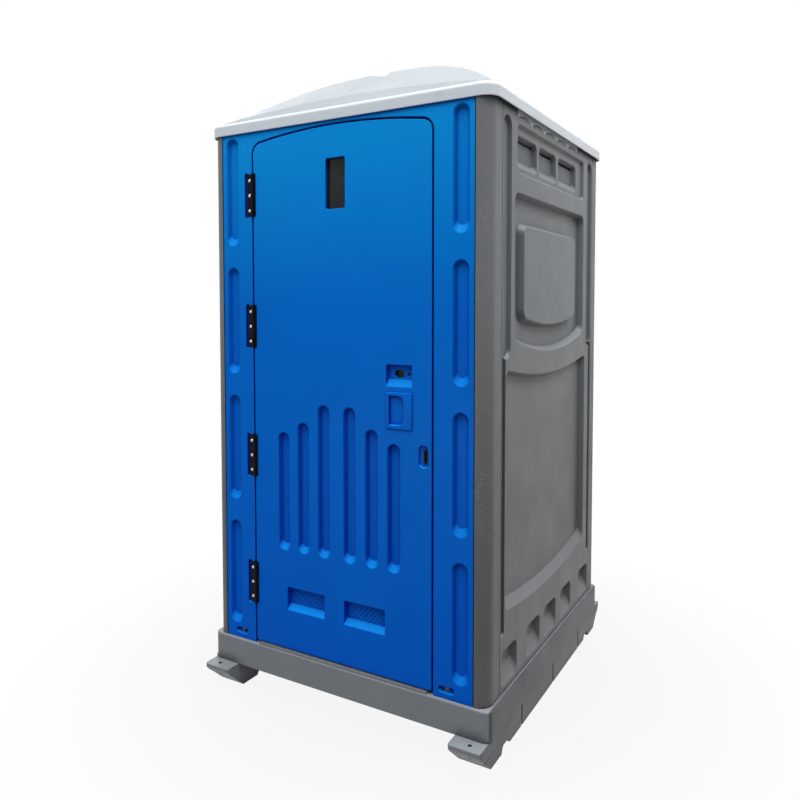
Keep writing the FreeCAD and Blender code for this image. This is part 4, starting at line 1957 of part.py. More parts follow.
def pump_pipe():
    start = PUMP_X + PUMP_BARREL_RADIUS
    end = INNER_X - WATER_TANK_WIDTH
    pipe = cylinder(10.0, (start, PUMP_Y, PUMP_Z), (end, PUMP_Y, PUMP_Z))
    return pipe.cut(cylinder(7.0, (start - 6, PUMP_Y, PUMP_Z), (end + 10, PUMP_Y, PUMP_Z)))


def main():
    keep("base_tray", base_tray())
    right = skid()
    keep("skid_right", right)
    keep("skid_left", mirrored(right))
    keep("skid_bolts", skid_bolts())
    post = corner_post()
    keep("post_front_right", post)
    keep("post_front_left", mirrored(post))
    keep("post_rear_right", mirrored(post, "y"))
    keep("post_rear_left", mirrored(mirrored(post), "y"))
    keep("shell_rivets", shell_rivets())
    wall = side_wall()
    keep("side_wall_right", wall)
    keep("side_wall_left", mirrored(wall))
    strip = vent_strip()
    keep("vent_strip_right", strip)
    keep("vent_strip_left", mirrored(strip))
    keep("rear_wall", rear_wall())
    keep("front_frame", front_frame())
    keep("frame_bolts", frame_bolts())
    keep("frame_hinge_leaves", frame_hinge_leaves())
    keep("door_hinge_leaves", door_hinge_leaves())
    keep("hinge_pins", hinge_pins())
    keep("frame_hinge_rivets", frame_hinge_rivets())
    keep("door_hinge_rivets", door_hinge_rivets())
    keep("door_panel", door_panel())
    keep("window_pane", window_pane())
    keep("window_frame", window_frame())
    keep("pull_plate", pull_plate())
    keep("hasp_insert", hasp_insert())
    keep("release_screw", release_screw())
    keep("latch_case", latch_case())
    keep("case_screws", case_screws())
    keep("latch_knob", latch_knob())
    keep("latch_bolt", latch_bolt())
    keep("latch_keeper", latch_keeper())
    keep("keeper_screws", keeper_screws())
    keep("inner_handle", inner_handle())
    keep("coat_hook", coat_hook())
    keep("door_sill", door_sill())
    keep("roof", roof())
    keep("waste_tank", waste_tank())
    keep("seat_chute", seat_chute())
    keep("seat_ring", seat_ring())
    keep("seat_lid", seat_lid())
    keep("seat_hinge", seat_hinge())
    keep("vent_pipe", vent_pipe())
    keep("vent_cap", vent_cap())
    keep("urinal", urinal())
    keep("urinal_hose", urinal_hose())
    keep("water_tank", water_tank())
    keep("basin", basin())
    keep("basin_hose", basin_hose())
    keep("faucet", faucet())
    keep("mirror_tray", mirror_tray())
    keep("mirror", mirror())
    keep("paper_holder", paper_holder())
    keep("paper_roll", paper_roll())
    keep("foot_pump", foot_pump())
    keep("pump_pedal", pump_pedal())
    keep("pump_pipe", pump_pipe())
    os.makedirs("parts", exist_ok=True)
    for name, shape in PARTS.items():
        shape.exportStep("parts/%s.step" % name)
        print(name, shape.isValid(), len(shape.Solids), round(shape.Volume / 1000.0, 1))


main()
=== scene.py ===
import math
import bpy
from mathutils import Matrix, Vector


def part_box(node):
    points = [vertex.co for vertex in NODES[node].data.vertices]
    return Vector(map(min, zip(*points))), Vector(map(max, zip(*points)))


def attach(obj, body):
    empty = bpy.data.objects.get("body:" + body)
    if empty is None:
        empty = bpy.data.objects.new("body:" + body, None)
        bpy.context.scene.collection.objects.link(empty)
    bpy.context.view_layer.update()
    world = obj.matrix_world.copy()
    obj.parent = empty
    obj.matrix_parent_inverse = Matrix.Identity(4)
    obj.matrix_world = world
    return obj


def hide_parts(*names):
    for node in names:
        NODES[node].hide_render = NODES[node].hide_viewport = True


bl_info = {
    "name": "Portable Toilet Cabin",
    "version": (1, 0, 0),
    "blender": (4, 5, 0),
    "location": "3D View > Sidebar > Cabin",
    "description": "Finishes, feet, finger pull, hoses, paper roll and studio for a toilet cabin",
    "category": "Object",
}

import bmesh
import bpy
from bpy.props import FloatProperty, FloatVectorProperty, IntProperty, PointerProperty
from mathutils import Matrix, Vector

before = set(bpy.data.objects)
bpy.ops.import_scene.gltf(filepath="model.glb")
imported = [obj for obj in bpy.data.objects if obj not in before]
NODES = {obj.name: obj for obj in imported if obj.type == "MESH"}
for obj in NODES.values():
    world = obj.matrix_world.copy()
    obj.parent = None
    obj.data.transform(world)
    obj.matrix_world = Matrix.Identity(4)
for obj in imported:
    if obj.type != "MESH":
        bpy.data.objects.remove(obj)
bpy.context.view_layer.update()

# Distance in metres within which two places count as one, and how squarely a face looks along an axis
TOUCH = 0.0001
FACING = 0.9

# Camera: place in metres, turn, tilt and roll in degrees, lens and sensor in millimetres, shift, clipping
CAMERA_PLACE = (1.4358, -2.7278, 1.4631)
CAMERA_TURN = 31.29
CAMERA_TILT = 90.0 - 2.69
CAMERA_ROLL = -0.11
CAMERA_LENS = 33.26
CAMERA_SENSOR = 36.0
CAMERA_SHIFT = (0.0314, -0.0739)
CAMERA_CLIP = (0.05, 100.0)

# Soft square lamps: name, place, what they shine at, size in metres, power in watts and colour
LAMPS = (
    ("key", (0.2, -2.7, 6.2), (0.0, -0.6, 1.2), 3.0, 180.0, (0.95, 0.98, 1.0)),
    ("side", (3.0, 0.2, 5.8), (0.6, 0.0, 1.2), 2.4, 185.0, (1.0, 0.98, 0.95)),
    ("fill", (-0.8, -3.2, 0.35), (0.0, -0.65, 0.1), 1.2, 10.0, (1.0, 0.99, 0.97)),
    ("back", (-3.6, 3.4, 3.2), (0.0, 0.2, 1.1), 3.0, 60.0, (0.97, 0.98, 1.0)),
)

# Floor: radius, level and span over which it turns white, in metres, how white it begins, and its greys
FLOOR_RADIUS = 30.0
FLOOR_LEVEL = -0.001
FLOOR_FADE = (0.7, 1.7)
FLOOR_START = 0.90
FLOOR_GREYS = ((0.115, 0.115, 0.115), (0.135, 0.135, 0.135))
WHITE = (1.0, 1.0, 1.0)

# Sky light: colour, strength overhead, and at the horizon on its bright and its dim side
SKY_COLOUR = (0.88, 0.95, 1.0)
ZENITH_LEVEL = 2.05
BRIGHT_LEVEL = 0.30
DIM_LEVEL = 0.12
BRIGHT_SIDE = (-0.6, -0.8, 0.0)

# Span that the values of a soft noise mostly keep to
CLOUD_SPAN = (0.3, 0.7)

# How a softened normal leans at an edge, how much sky a hollow sees, and how level a ledge looks
EDGE_LEAN = (0.995, 0.8)
HOLLOW_SKY = (0.58, 0.96)
LEDGE_LEVEL = (0.15, 0.6)

# Depths of the fine grain of the surfaces, in metres
PEEL_DEPTH = 0.00012
ROOF_PEEL_DEPTH = 0.0002
DRAWN_DEPTH = 0.00006
PIMPLE_DEPTH = 0.00008
SPARK_DEPTH = 0.00006
PANE_DEPTH = 0.0006
CREPE_DEPTH = 0.0004
HOSE_FILM_DEPTH = 0.0002

# Radii that the edges of metal, coat and small plastic parts are softened by, in metres
METAL_EDGE = 0.0008
COAT_EDGE = 0.0012
PLASTIC_EDGE = 0.0015

# Ribbed floors of the air pockets in the side walls, in metres: levels, distance from the middle, ribs
LOUVRE_LOW = 1.946
LOUVRE_HIGH = 2.012
LOUVRE_FLOOR = 0.541
LOUVRE_RIB_PITCH = 0.0042
LOUVRE_RIB_DEPTH = 0.0005
LOUVRE_STEP = 0.003

# Painted shade in the grooves of the mouldings and painted light on their ledges: reach in metres and
# strengths
HOLLOW_REACH = 0.05
HOLLOW_SHADE = 0.80
LEDGE_LIGHT = 0.32

# Colour of the painted shade on the blue plastic deep in its grooves
GROOVE_SHADE_BLUE = (0.0, 0.010, 0.330)

# Heights in metres over which the plastics turn into their low tone, that of the walls, and the high tone;
# the low tones are painted shade and the high tone is painted light
LOW_FADE = (0.3, 1.4)
WALL_FADE = (0.7, 1.5)
HIGH_FADE = (1.45, 2.12)

# Pale specks and dust on the moulded plastics, and the height in metres that the dust reaches
SPECK_GRAIN = 120.0
SPECK_COLOUR = (0.62, 0.63, 0.64)
DUST_COLOUR = (0.30, 0.29, 0.27)
DUST_HEIGHT = 0.42

# Distance from the middle, in metres, past which the base's sides are darkened with painted shade
SIDE_SHADE_START = 0.5665

# How softly the ribs and the painted shade on the base's sides begin, in metres
PAINT_BLUR = 0.004

# How the corner posts' plastic differs from that of the walls, in red, green and blue
POST_TINT = (0.95, 0.90, 0.89)

# Heights between which the roof's thick white rim turns into its thinner dome, in metres; the rim's lighter
# colour there is painted light
RIM_LOW = 2.146
RIM_HIGH = 2.152

# Paper roll, in metres and degrees: bore, play in its solid, uneven layers, loose sheet and its end's lifts
ROLL_FACETS = 96
ROLL_BORE = 0.0195
ROLL_SLACK = 0.0024
ROLL_STAGGER = 0.0003
ROLL_SHEET = (240.0, 330.0)
ROLL_SHEET_END = 240.0
ROLL_SHEET_THICKNESS = 0.0006
ROLL_SHEET_LIFTS = (0.0016, 0.0007)

# Outer cheeks of the lashing feet, in metres: their slanted inner side, ends, raked nose and rounded edge
CHEEK_WIDTH = 0.0324
CHEEK_HEIGHT = 0.0505
CHEEK_START = 0.516
CHEEK_NOSE = (0.600, 0.669)
CHEEK_NOSE_HEIGHT = 0.061
CHEEK_ROUND = 0.004

# Finger pull, in metres: plate, cup's margins (left, right, top, bottom), depth, round side, ledge, skin
PULL_PLATE = 0.004
PULL_EDGE = 0.0015
CUP_MARGINS = (0.011, 0.031, 0.011, 0.010)
CUP_DEPTH = 0.009
CUP_ROUND = 0.024
CUP_LEDGE = 0.004
CUP_SKIN = 0.003

# Hoses, in metres: corner points of their centrelines, and the depths of the rings from one rib to the next
URINAL_ROUTE = ((-0.48, -0.05, 0.7), (-0.48, -0.05, 0.655), (-0.48, 0.16, 0.655), (-0.48, 0.16, 0.575))
BASIN_ROUTE = ((0.365, -0.075, 0.95), (0.365, -0.075, 0.665), (0.365, 0.15, 0.665), (0.365, 0.15, 0.575))
HOSE_RINGS = (0.0, 0.0009, 0.0022, 0.0009)
HOSE_SIDES = 28

# Angles in degrees up to which the made pieces are shaded smooth, and the facets of their rounded edges
HOSE_CREASE = 60.0
CHEEK_CREASE = 40.0
FINE_CREASE = 30.0
EDGE_FACETS = 3
CUP_FACETS = 8


class CabinColours(bpy.types.PropertyGroup):
    blue: FloatVectorProperty(
        name="Body Blue",
        description="Moulded plastic of the door and its frame",
        subtype="COLOR",
        size=3,
        min=0.0,
        max=1.0,
        default=(0.000, 0.140, 0.580),
    )
    # Painted light: the blue turns to this lighter tone towards the roof.
    lit_top_blue: FloatVectorProperty(
        name="Top Blue",
        description="The blue plastic under the roof, where the sun has paled it",
        subtype="COLOR",
        size=3,
        min=0.0,
        max=1.0,
        default=(0.002, 0.270, 0.700),
    )
    # Painted shade: the blue turns to this darker tone towards the ground.
    shaded_low_blue: FloatVectorProperty(
        name="Low Blue",
        description="The blue plastic near the ground, where it has kept its depth",
        subtype="COLOR",
        size=3,
        min=0.0,
        max=1.0,
        default=(0.000, 0.101, 0.535),
    )
    wall: FloatVectorProperty(
        name="Wall Grey",
        description="Moulded plastic of the side walls, rear wall and corner posts",
        subtype="COLOR",
        size=3,
        min=0.0,
        max=1.0,
        default=(0.165, 0.177, 0.183),
    )
    # Painted shade: the walls and posts turn to this darker grey towards the ground.
    shaded_low_wall: FloatVectorProperty(
        name="Low Wall Grey",
        description="The grey plastic near the ground, where it is worn and dusty",
        subtype="COLOR",
        size=3,
        min=0.0,
        max=1.0,
        default=(0.106, 0.107, 0.109),
    )
    base: FloatVectorProperty(
        name="Base Grey",
        description="Moulded plastic of the base tray and skids",
        subtype="COLOR",
        size=3,
        min=0.0,
        max=1.0,
        default=(0.180, 0.188, 0.202),
    )
    roof: FloatVectorProperty(
        name="Roof White",
        description="Translucent plastic of the roof",
        subtype="COLOR",
        size=3,
        min=0.0,
        max=1.0,
        default=(0.408, 0.428, 0.454),
    )


class CabinSizes(bpy.types.PropertyGroup):
    edge_round: FloatProperty(
        name="Moulded Edge",
        description="Radius that the moulded plastic's edges are softened by",
        subtype="DISTANCE",
        unit="LENGTH",
        min=0.0,
        max=0.02,
        default=0.005,
    )
    hose_bore: FloatProperty(
        name="Drain Hose",
        description="Outside diameter of the two drain hoses",
        subtype="DISTANCE",
        unit="LENGTH",
        min=0.01,
        max=0.06,
        default=0.028,
    )
    hose_rib: FloatProperty(
        name="Hose Rib Pitch",
        description="Distance from one rib of a drain hose to the next",
        subtype="DISTANCE",
        unit="LENGTH",
        min=0.003,
        max=0.02,
        default=0.0065,
    )
    roll_layers: IntProperty(
        name="Paper Layers",
        description="Wound layers that show on the ends of the paper roll",
        min=4,
        max=40,
        default=24,
    )


class Graph:
    """Shader nodes of a material or a world, and the sums that are often made with them."""

    def __init__(self, tree):
        self.nodes = tree.nodes
        self.links = tree.links

    def node(self, kind, inputs=(), **settings):
        made = self.nodes.new(kind)
        for key, value in settings.items():
            setattr(made, key, value)
        for key, value in dict(inputs).items():
            self.feed(made.inputs[key], value)
        return made

    def feed(self, socket, value):
        if isinstance(value, bpy.types.NodeSocket):
            self.links.new(value, socket)
        elif hasattr(value, "__len__") and len(value) == 3 and socket.type == "RGBA":
            socket.default_value = (*value, 1.0)
        else:
            socket.default_value = value

    def ranged(self, value, low, high, to_low, to_high):
        inputs = {"Value": value, "From Min": low, "From Max": high, "To Min": to_low, "To Max": to_high}
        return self.node("ShaderNodeMapRange", inputs).outputs["Result"]

    def maths(self, operation, first, second=0.0, clamp=False):
        inputs = {0: first, 1: second}
        return self.node("ShaderNodeMath", inputs, operation=operation, use_clamp=clamp).outputs["Value"]

    def dot(self, first, second):
        made = self.node("ShaderNodeVectorMath", {0: first, 1: second}, operation="DOT_PRODUCT")
        return made.outputs["Value"]

    def along(self, axis, vector):
        return self.node("ShaderNodeSeparateXYZ", {"Vector": vector}).outputs[axis]

    def blended(self, amount, first, second):
        """A mix of two shaders."""
        return self.node("ShaderNodeMixShader", {0: amount, 1: first, 2: second}).outputs[0]

    def seen(self):
        """One where the camera looks, directly or by way of a mirror or a pane, and else nought."""
        path = self.nodes.new("ShaderNodeLightPath").outputs
        plainly = self.maths("MAXIMUM", path["Is Camera Ray"], path["Is Glossy Ray"])
        return self.maths("MAXIMUM", plainly, path["Is Transmission Ray"])


class Finish(Graph):
    """Node graph of one finish, read in the object's own coordinates."""

    def __init__(self, name):
        self.material = bpy.data.materials.new(name)
        self.material.use_nodes = True
        super().__init__(self.material.node_tree)
        self.shader = self.nodes["Principled BSDF"]
        self.place = self.nodes.new("ShaderNodeTexCoord").outputs["Object"]

    def noise(self, scale, detail, rough, stretch=None):
        vector = self.place
        if stretch is not None:
            mapping = self.node("ShaderNodeMapping", {"Vector": vector, "Scale": stretch})
            vector = mapping.outputs["Vector"]
        inputs = {"Vector": vector, "Scale": scale, "Detail": detail, "Roughness": rough}
        return self.node("ShaderNodeTexNoise", inputs).outputs["Fac"]

    def mixed(self, amount, first, second):
        """A mix of two colours."""
        made = self.node("ShaderNodeMix", {"Factor": amount}, data_type="RGBA")
        self.feed(made.inputs[6], first)
        self.feed(made.inputs[7], second)
        return made.outputs[2]

    def mottled(self, cloud, first, second):
        """Two colours that drift into each other."""
        return self.mixed(self.ranged(cloud, *CLOUD_SPAN, 0.0, 1.0), first, second)

    def uneven(self, cloud, rough, less=0.05, more=0.07):
        """A roughness that drifts about its mean."""
        return self.ranged(cloud, *CLOUD_SPAN, rough - less, rough + more)

    def rounded_edges(self, radius):
        return self.node("ShaderNodeBevel", {"Radius": radius}, samples=6).outputs["Normal"]

    def edge_mask(self, normal):
        """One along hard edges and nought on open faces."""
        plain = self.nodes.new("ShaderNodeNewGeometry").outputs["Normal"]
        return self.ranged(self.dot(normal, plain), *EDGE_LEAN, 0.0, 1.0)

    def hollows(self, reach):
        """One deep inside grooves and corners and nought on open faces."""
        open_sky = self.node("ShaderNodeAmbientOcclusion", {"Distance": reach}, samples=8).outputs["AO"]
        return self.ranged(open_sky, *HOLLOW_SKY, 1.0, 0.0)

    def facing_up(self):
        plain = self.nodes.new("ShaderNodeNewGeometry").outputs["Normal"]
        return self.ranged(self.along("Z", plain), *LEDGE_LEVEL, 0.0, 1.0)

    def bump(self, value, distance, normal=None):
        made = self.node("ShaderNodeBump", {"Height": value, "Distance": distance, "Strength": 1.0})
        if normal is not None:
            self.links.new(normal, made.inputs["Normal"])
        return made.outputs["Normal"]

    def set(self, **values):
        for key, value in values.items():
            self.feed(self.shader.inputs[key.replace("_", " ")], value)
        return self.material


def shade(colour, factor):
    """The colour, lighter or darker."""
    return tuple(min(1.0, channel * factor) for channel in colour)


def tint(colour, factors):
    """The colour with each of its channels changed by a factor of its own."""
    return tuple(min(1.0, channel * factor) for channel, factor in zip(colour, factors))


def moulded(
    name,
    colour,
    rough,
    radius,
    low=None,
    high=None,
    fade=LOW_FADE,
    hollow=None,
    hollow_shade=HOLLOW_SHADE,
    specks=0.0,
    dust=0.0,
    specular=0.2,
    ribs=False,
    side_shade=False,
):
    """Rotationally moulded polyethylene: soft edges, fine orange peel, faint flow marks, wear, painted
    highlights on the edges, painted shade in grooves and towards the ground, and painted light on ledges
    and towards the top.
    """
    f = Finish(name)
    edges = f.rounded_edges(radius)
    height = f.along("Z", f.place)
    body = f.mottled(f.noise(2.3, 4.0, 0.55), shade(colour, 0.95), shade(colour, 1.05))
    # Painted shade and painted light: the low tone darkens towards the ground and the high tone lightens
    # towards the roof.
    if low is not None:
        body = f.mixed(f.ranged(height, *fade, 1.0, 0.0), body, low)
    if high is not None:
        body = f.mixed(f.ranged(height, *HIGH_FADE, 0.0, 1.0), body, high)
    flow = f.noise(3.0, 3.0, 0.6, stretch=(1.6, 1.6, 0.35))
    body = f.mixed(f.ranged(flow, 0.55, 0.8, 0.0, 0.3), body, shade(colour, 1.12))
    top = f.facing_up()
    # Painted shade: grooves and corners that see little sky are darkened, except where they face up.
    groove_shade = f.maths("MULTIPLY", f.hollows(HOLLOW_REACH), f.maths("SUBTRACT", 1.0, top))
    body = f.mixed(f.maths("MULTIPLY", groove_shade, hollow_shade), body, hollow or shade(colour, 0.12))
    # Painted light: faces that look upwards are lightened towards a paler tone.
    body = f.mixed(f.maths("MULTIPLY", top, LEDGE_LIGHT), body, shade(high or colour, 1.6))
    # Lighter edges, partly wear and partly painted highlight.
    edge_wear_and_highlight = f.ranged(f.noise(40.0, 3.0, 0.6), 0.4, 0.7, 0.1, 0.35)
    body = f.mixed(f.maths("MULTIPLY", f.edge_mask(edges), edge_wear_and_highlight), body, shade(colour, 1.4))
    if specks:
        body = f.mixed(f.maths("MULTIPLY", *speckled(f, specks)), body, SPECK_COLOUR)
    # Painted shade on the base's outer sides.
    if side_shade:
        body = f.mixed(f.maths("MULTIPLY", *painted_side_shade(f)), body, shade(colour, 0.12))
    if dust:
        near_ground = f.ranged(height, 0.0, DUST_HEIGHT, dust, 0.0)
        patch = f.ranged(f.noise(14.0, 4.0, 0.65), 0.3, 0.75, 0.2, 1.0)
        body = f.mixed(f.maths("MULTIPLY", near_ground, patch), body, DUST_COLOUR)
    surface = f.bump(f.noise(260.0, 2.0, 0.5), PEEL_DEPTH, edges)
    if ribs:
        surface = f.bump(louvre_ribs(f), LOUVRE_RIB_DEPTH, surface)
    return f.set(
        Base_Color=body,
        Roughness=f.uneven(f.noise(7.0, 4.0, 0.6), rough),
        Normal=surface,
        Specular_IOR_Level=specular,
    )


def speckled(f, amount):
    """Small pale dots, and the patches in which they show."""
    dots = f.node("ShaderNodeTexVoronoi", {"Vector": f.place, "Scale": SPECK_GRAIN, "Randomness": 1.0})
    near = f.ranged(dots.outputs["Distance"], 0.10, 0.16, 1.0, 0.0)
    return near, f.ranged(f.noise(9.0, 2.0, 0.5), 0.5, 0.68, 0.0, amount)


def painted_side_shade(f):
    """The outer sides of the base, which get painted shade, and how strong it is in patches."""
    across = f.maths("ABSOLUTE", f.along("X", f.place))
    outside = f.ranged(across, SIDE_SHADE_START, SIDE_SHADE_START + PAINT_BLUR, 0.0, 1.0)
    return outside, f.ranged(f.noise(5.0, 4.0, 0.6), *CLOUD_SPAN, 0.62, 0.88)


def louvre_ribs(f):
    """Fine level ribs on the floors of the three pockets near the top of each side wall."""
    level = f.along("Z", f.place)
    across = f.maths("ABSOLUTE", f.along("X", f.place))
    wave = f.maths("SINE", f.maths("MULTIPLY", level, 2 * math.pi / LOUVRE_RIB_PITCH))
    above = f.ranged(level, LOUVRE_LOW, LOUVRE_LOW + PAINT_BLUR, 0.0, 1.0)
    below = f.ranged(level, LOUVRE_HIGH, LOUVRE_HIGH + PAINT_BLUR, 1.0, 0.0)
    sunk = f.ranged(across, LOUVRE_FLOOR, LOUVRE_FLOOR + LOUVRE_STEP, 1.0, 0.0)
    return f.maths("MULTIPLY", f.maths("MULTIPLY", wave, sunk), f.maths("MULTIPLY", above, below))


def translucent_roof(name, colour, radius):
    """Milky roof sheet that lets light through, with faint thick and thin clouds, painted light on its rim
    and painted highlights on its edges.
    """
    f = Finish(name)
    edges = f.rounded_edges(radius)
    height = f.along("Z", f.place)
    body = f.mottled(f.noise(3.2, 4.0, 0.55), shade(colour, 0.955), shade(colour, 1.03))
    # Painted light: the upright rim is coloured lighter than the dome, making up for the overhead light it
    # misses.
    body = f.mixed(f.ranged(height, RIM_LOW, RIM_HIGH, 0.9, 0.0), body, shade(colour, 1.58))
    # Lighter edges, partly wear and partly painted highlight.
    body = f.mixed(f.maths("MULTIPLY", f.edge_mask(edges), 0.3), body, shade(colour, 1.2))
    streak = f.noise(11.0, 3.0, 0.6, stretch=(1.0, 0.4, 1.0))
    body = f.mixed(f.ranged(streak, 0.58, 0.8, 0.0, 0.3), body, shade(colour, 0.90))
    return f.set(
        Base_Color=body,
        Roughness=f.ranged(f.noise(8.0, 3.0, 0.6), *CLOUD_SPAN, 0.32, 0.44),
        Normal=f.bump(f.noise(220.0, 2.0, 0.5), ROOF_PEEL_DEPTH, edges),
        Subsurface_Weight=0.35,
        Subsurface_Radius=(0.05, 0.055, 0.06),
        Subsurface_Scale=0.2,
        Transmission_Weight=f.ranged(height, RIM_LOW, RIM_HIGH, 0.0, 0.25),
    )


def sheet_metal(name, colour, rough):
    """Drawn or rolled metal with fine lines and faint tarnish."""
    f = Finish(name)
    lines = f.noise(90.0, 3.0, 0.6, stretch=(1.0, 1.0, 30.0))
    tarnish = f.ranged(f.noise(24.0, 4.0, 0.6), 0.35, 0.7, 0.0, 0.6)
    return f.set(
        Base_Color=f.mixed(tarnish, colour, shade(colour, 0.8)),
        Roughness=f.uneven(lines, rough, 0.06, 0.10),
        Metallic=1.0,
        Normal=f.bump(lines, DRAWN_DEPTH, f.rounded_edges(METAL_EDGE)),
    )


def powder_coat(name, colour, rough):
    """Baked coat with a fine pimple, and edges lightened partly by wear and partly by painted highlight."""
    f = Finish(name)
    edges = f.rounded_edges(COAT_EDGE)
    cloud = f.noise(30.0, 4.0, 0.6)
    body = f.mixed(f.ranged(cloud, 0.3, 0.75, 0.0, 0.7), colour, shade(colour, 1.9))
    edge_wear_and_highlight = f.ranged(f.noise(120.0, 3.0, 0.6), 0.5, 0.7, 0.0, 0.5)
    return f.set(
        # Lighter edges, partly wear and partly painted highlight.
        Base_Color=f.mixed(f.maths("MULTIPLY", f.edge_mask(edges), edge_wear_and_highlight), body, (0.05, 0.05, 0.055)),
        Roughness=f.uneven(cloud, rough, 0.05, 0.08),
        Normal=f.bump(f.noise(900.0, 1.0, 0.5), PIMPLE_DEPTH, edges),
        Specular_IOR_Level=0.06,
    )


def plain_plastic(name, colour, rough, specular=0.5):
    """Injection-moulded plastic with a fine spark texture."""
    f = Finish(name)
    edges = f.rounded_edges(PLASTIC_EDGE)
    body = f.mottled(f.noise(6.0, 4.0, 0.6), shade(colour, 0.94), shade(colour, 1.05))
    return f.set(
        # Lighter edges, partly wear and partly painted highlight.
        Base_Color=f.mixed(f.maths("MULTIPLY", f.edge_mask(edges), 0.3), body, shade(colour, 1.3)),
        Roughness=f.uneven(f.noise(18.0, 4.0, 0.6), rough),
        Normal=f.bump(f.noise(500.0, 2.0, 0.5), SPARK_DEPTH, edges),
        Specular_IOR_Level=specular,
    )


def dark_glass(name):
    """Smoked pane that hides the inside."""
    f = Finish(name)
    haze = f.noise(16.0, 4.0, 0.6)
    amount = f.ranged(haze, 0.35, 0.7, 0.0, 1.0)
    return f.set(
        Base_Color=f.mixed(amount, (0.006, 0.0065, 0.008), (0.016, 0.017, 0.02)),
        Roughness=f.ranged(haze, 0.3, 0.75, 0.04, 0.12),
        Normal=f.bump(f.noise(9.0, 1.0, 0.4), PANE_DEPTH),
        Specular_IOR_Level=0.15,
        Coat_Weight=0.1,
    )


def silvered(name):
    """Plate mirror with a faint film on it."""
    f = Finish(name)
    film = f.noise(14.0, 5.0, 0.65)
    return f.set(
        Base_Color=f.mixed(f.ranged(film, 0.45, 0.8, 0.0, 0.5), (0.88, 0.9, 0.91), (0.7, 0.72, 0.74)),
        Roughness=f.ranged(film, 0.4, 0.8, 0.02, 0.12),
        Metallic=1.0,
    )


def tissue(name):
    """Soft crepe paper."""
    f = Finish(name)
    fibre = f.ranged(f.noise(420.0, 3.0, 0.7), 0.3, 0.75, 0.0, 1.0)
    crepe = f.noise(160.0, 2.0, 0.6, stretch=(6.0, 0.6, 6.0))
    return f.set(
        Base_Color=f.mixed(fibre, (0.80, 0.79, 0.76), (0.90, 0.89, 0.87)),
        Roughness=f.ranged(crepe, 0.2, 0.8, 0.85, 0.97),
        Normal=f.bump(crepe, CREPE_DEPTH),
        Sheen_Weight=0.25,
    )


def ribbed_hose(name):
    """Dark hose rubber with a faint film on it."""
    f = Finish(name)
    film = f.noise(60.0, 4.0, 0.6)
    amount = f.ranged(film, 0.35, 0.75, 0.0, 1.0)
    return f.set(
        Base_Color=f.mixed(amount, (0.055, 0.056, 0.06), (0.10, 0.10, 0.105)),
        Roughness=f.ranged(film, *CLOUD_SPAN, 0.38, 0.55),
        Normal=f.bump(film, HOSE_FILM_DEPTH),
    )


def wear_finish(nodes, material):
    """Puts the material on all of the nodes' slots."""
    for name in nodes:
        for slot in NODES[name].material_slots:
            slot.material = material


def alone():
    bpy.ops.object.select_all(action="DESELECT")


def pick(obj):
    """Makes the object the one that is selected and active."""
    alone()
    obj.select_set(True)
    bpy.context.view_layer.objects.active = obj


def edit(obj):
    """Opens the object's mesh in edit mode."""
    pick(obj)
    bpy.ops.object.mode_set(mode="EDIT")


def leave():
    """Goes back to object mode."""
    bpy.ops.object.mode_set(mode="OBJECT")


def choose(obj, kind, wanted):
    """Selects only the points, edges or faces of the mesh in edit mode that wanted(part) names."""
    bpy.ops.mesh.select_mode(type=kind)
    bpy.ops.mesh.select_all(action="DESELECT")
    mesh = bmesh.from_edit_mesh(obj.data)
    for part in {"VERT": mesh.verts, "EDGE": mesh.edges, "FACE": mesh.faces}[kind]:
        part.select_set(bool(wanted(part)))
    mesh.select_flush_mode()
    bmesh.update_edit_mesh(obj.data)


def round_edges(obj, offset, segments, wanted):
    """Rounds the edges of the mesh in edit mode that wanted(edge) names."""
    choose(obj, "EDGE", wanted)
    bpy.ops.mesh.bevel(offset=offset, segments=segments, affect="EDGES")


def block(name, low, high):
    """Cuboid between two corners."""
    alone()
    bpy.ops.mesh.primitive_cube_add(size=1.0, location=(low + high) / 2)
    made = bpy.context.object
    made.name = name
    made.scale = high - low
    bpy.ops.object.transform_apply(location=True, rotation=True, scale=True)
    return made


def combine(obj, other, operation):
    """Joins the other solid to the object or cuts it out, and drops it."""
    pick(obj)
    modifier = obj.modifiers.new(operation.lower(), "BOOLEAN")
    modifier.operation = operation
    modifier.solver = "EXACT"
    modifier.object = other
    bpy.ops.object.modifier_apply(modifier=modifier.name)
    bpy.data.objects.remove(other)


def settle(obj, body, slot, material, *nodes):
    """Gives a made piece its finish, its body and the nodes that it stands for. The slot is not used."""
    obj.data.materials.clear()
    obj.data.materials.append(material)
    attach(obj, body)
    if nodes:
        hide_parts(*nodes)


def smooth_line(name, points):
    """Points along a smooth curve that is drawn to the route's corners."""
    curve = bpy.data.curves.new(name, "CURVE")
    curve.dimensions = "3D"
    curve.resolution_u = 24
    spline = curve.splines.new("NURBS")
    spline.points.add(len(points) - 1)
    for target, point in zip(spline.points, points):
        target.co = (*point, 1.0)
    spline.order_u = 3
    spline.use_endpoint_u = True
    holder = bpy.data.objects.new(name, curve)
    bpy.context.scene.collection.objects.link(holder)
    bpy.context.view_layer.update()
    mesh = bpy.data.meshes.new_from_object(holder)
    line = [vertex.co.copy() for vertex in mesh.vertices]
    bpy.data.meshes.remove(mesh)
    bpy.data.objects.remove(holder)
    bpy.data.curves.remove(curve)
    return line


def evenly(line, step):
    """The same line with its points a fixed step apart."""
    lengths = [0.0]
    for first, second in zip(line, line[1:]):
        lengths.append(lengths[-1] + (second - first).length)
    count = max(2, round(lengths[-1] / step))
    made = []
    index = 0
    for number in range(count + 1):
        want = lengths[-1] * number / count
        while index < len(line) - 2 and lengths[index + 1] < want:
            index += 1
        span = max(lengths[index + 1] - lengths[index], 1e-9)
        made.append(line[index].lerp(line[index + 1], (want - lengths[index]) / span))
    return made


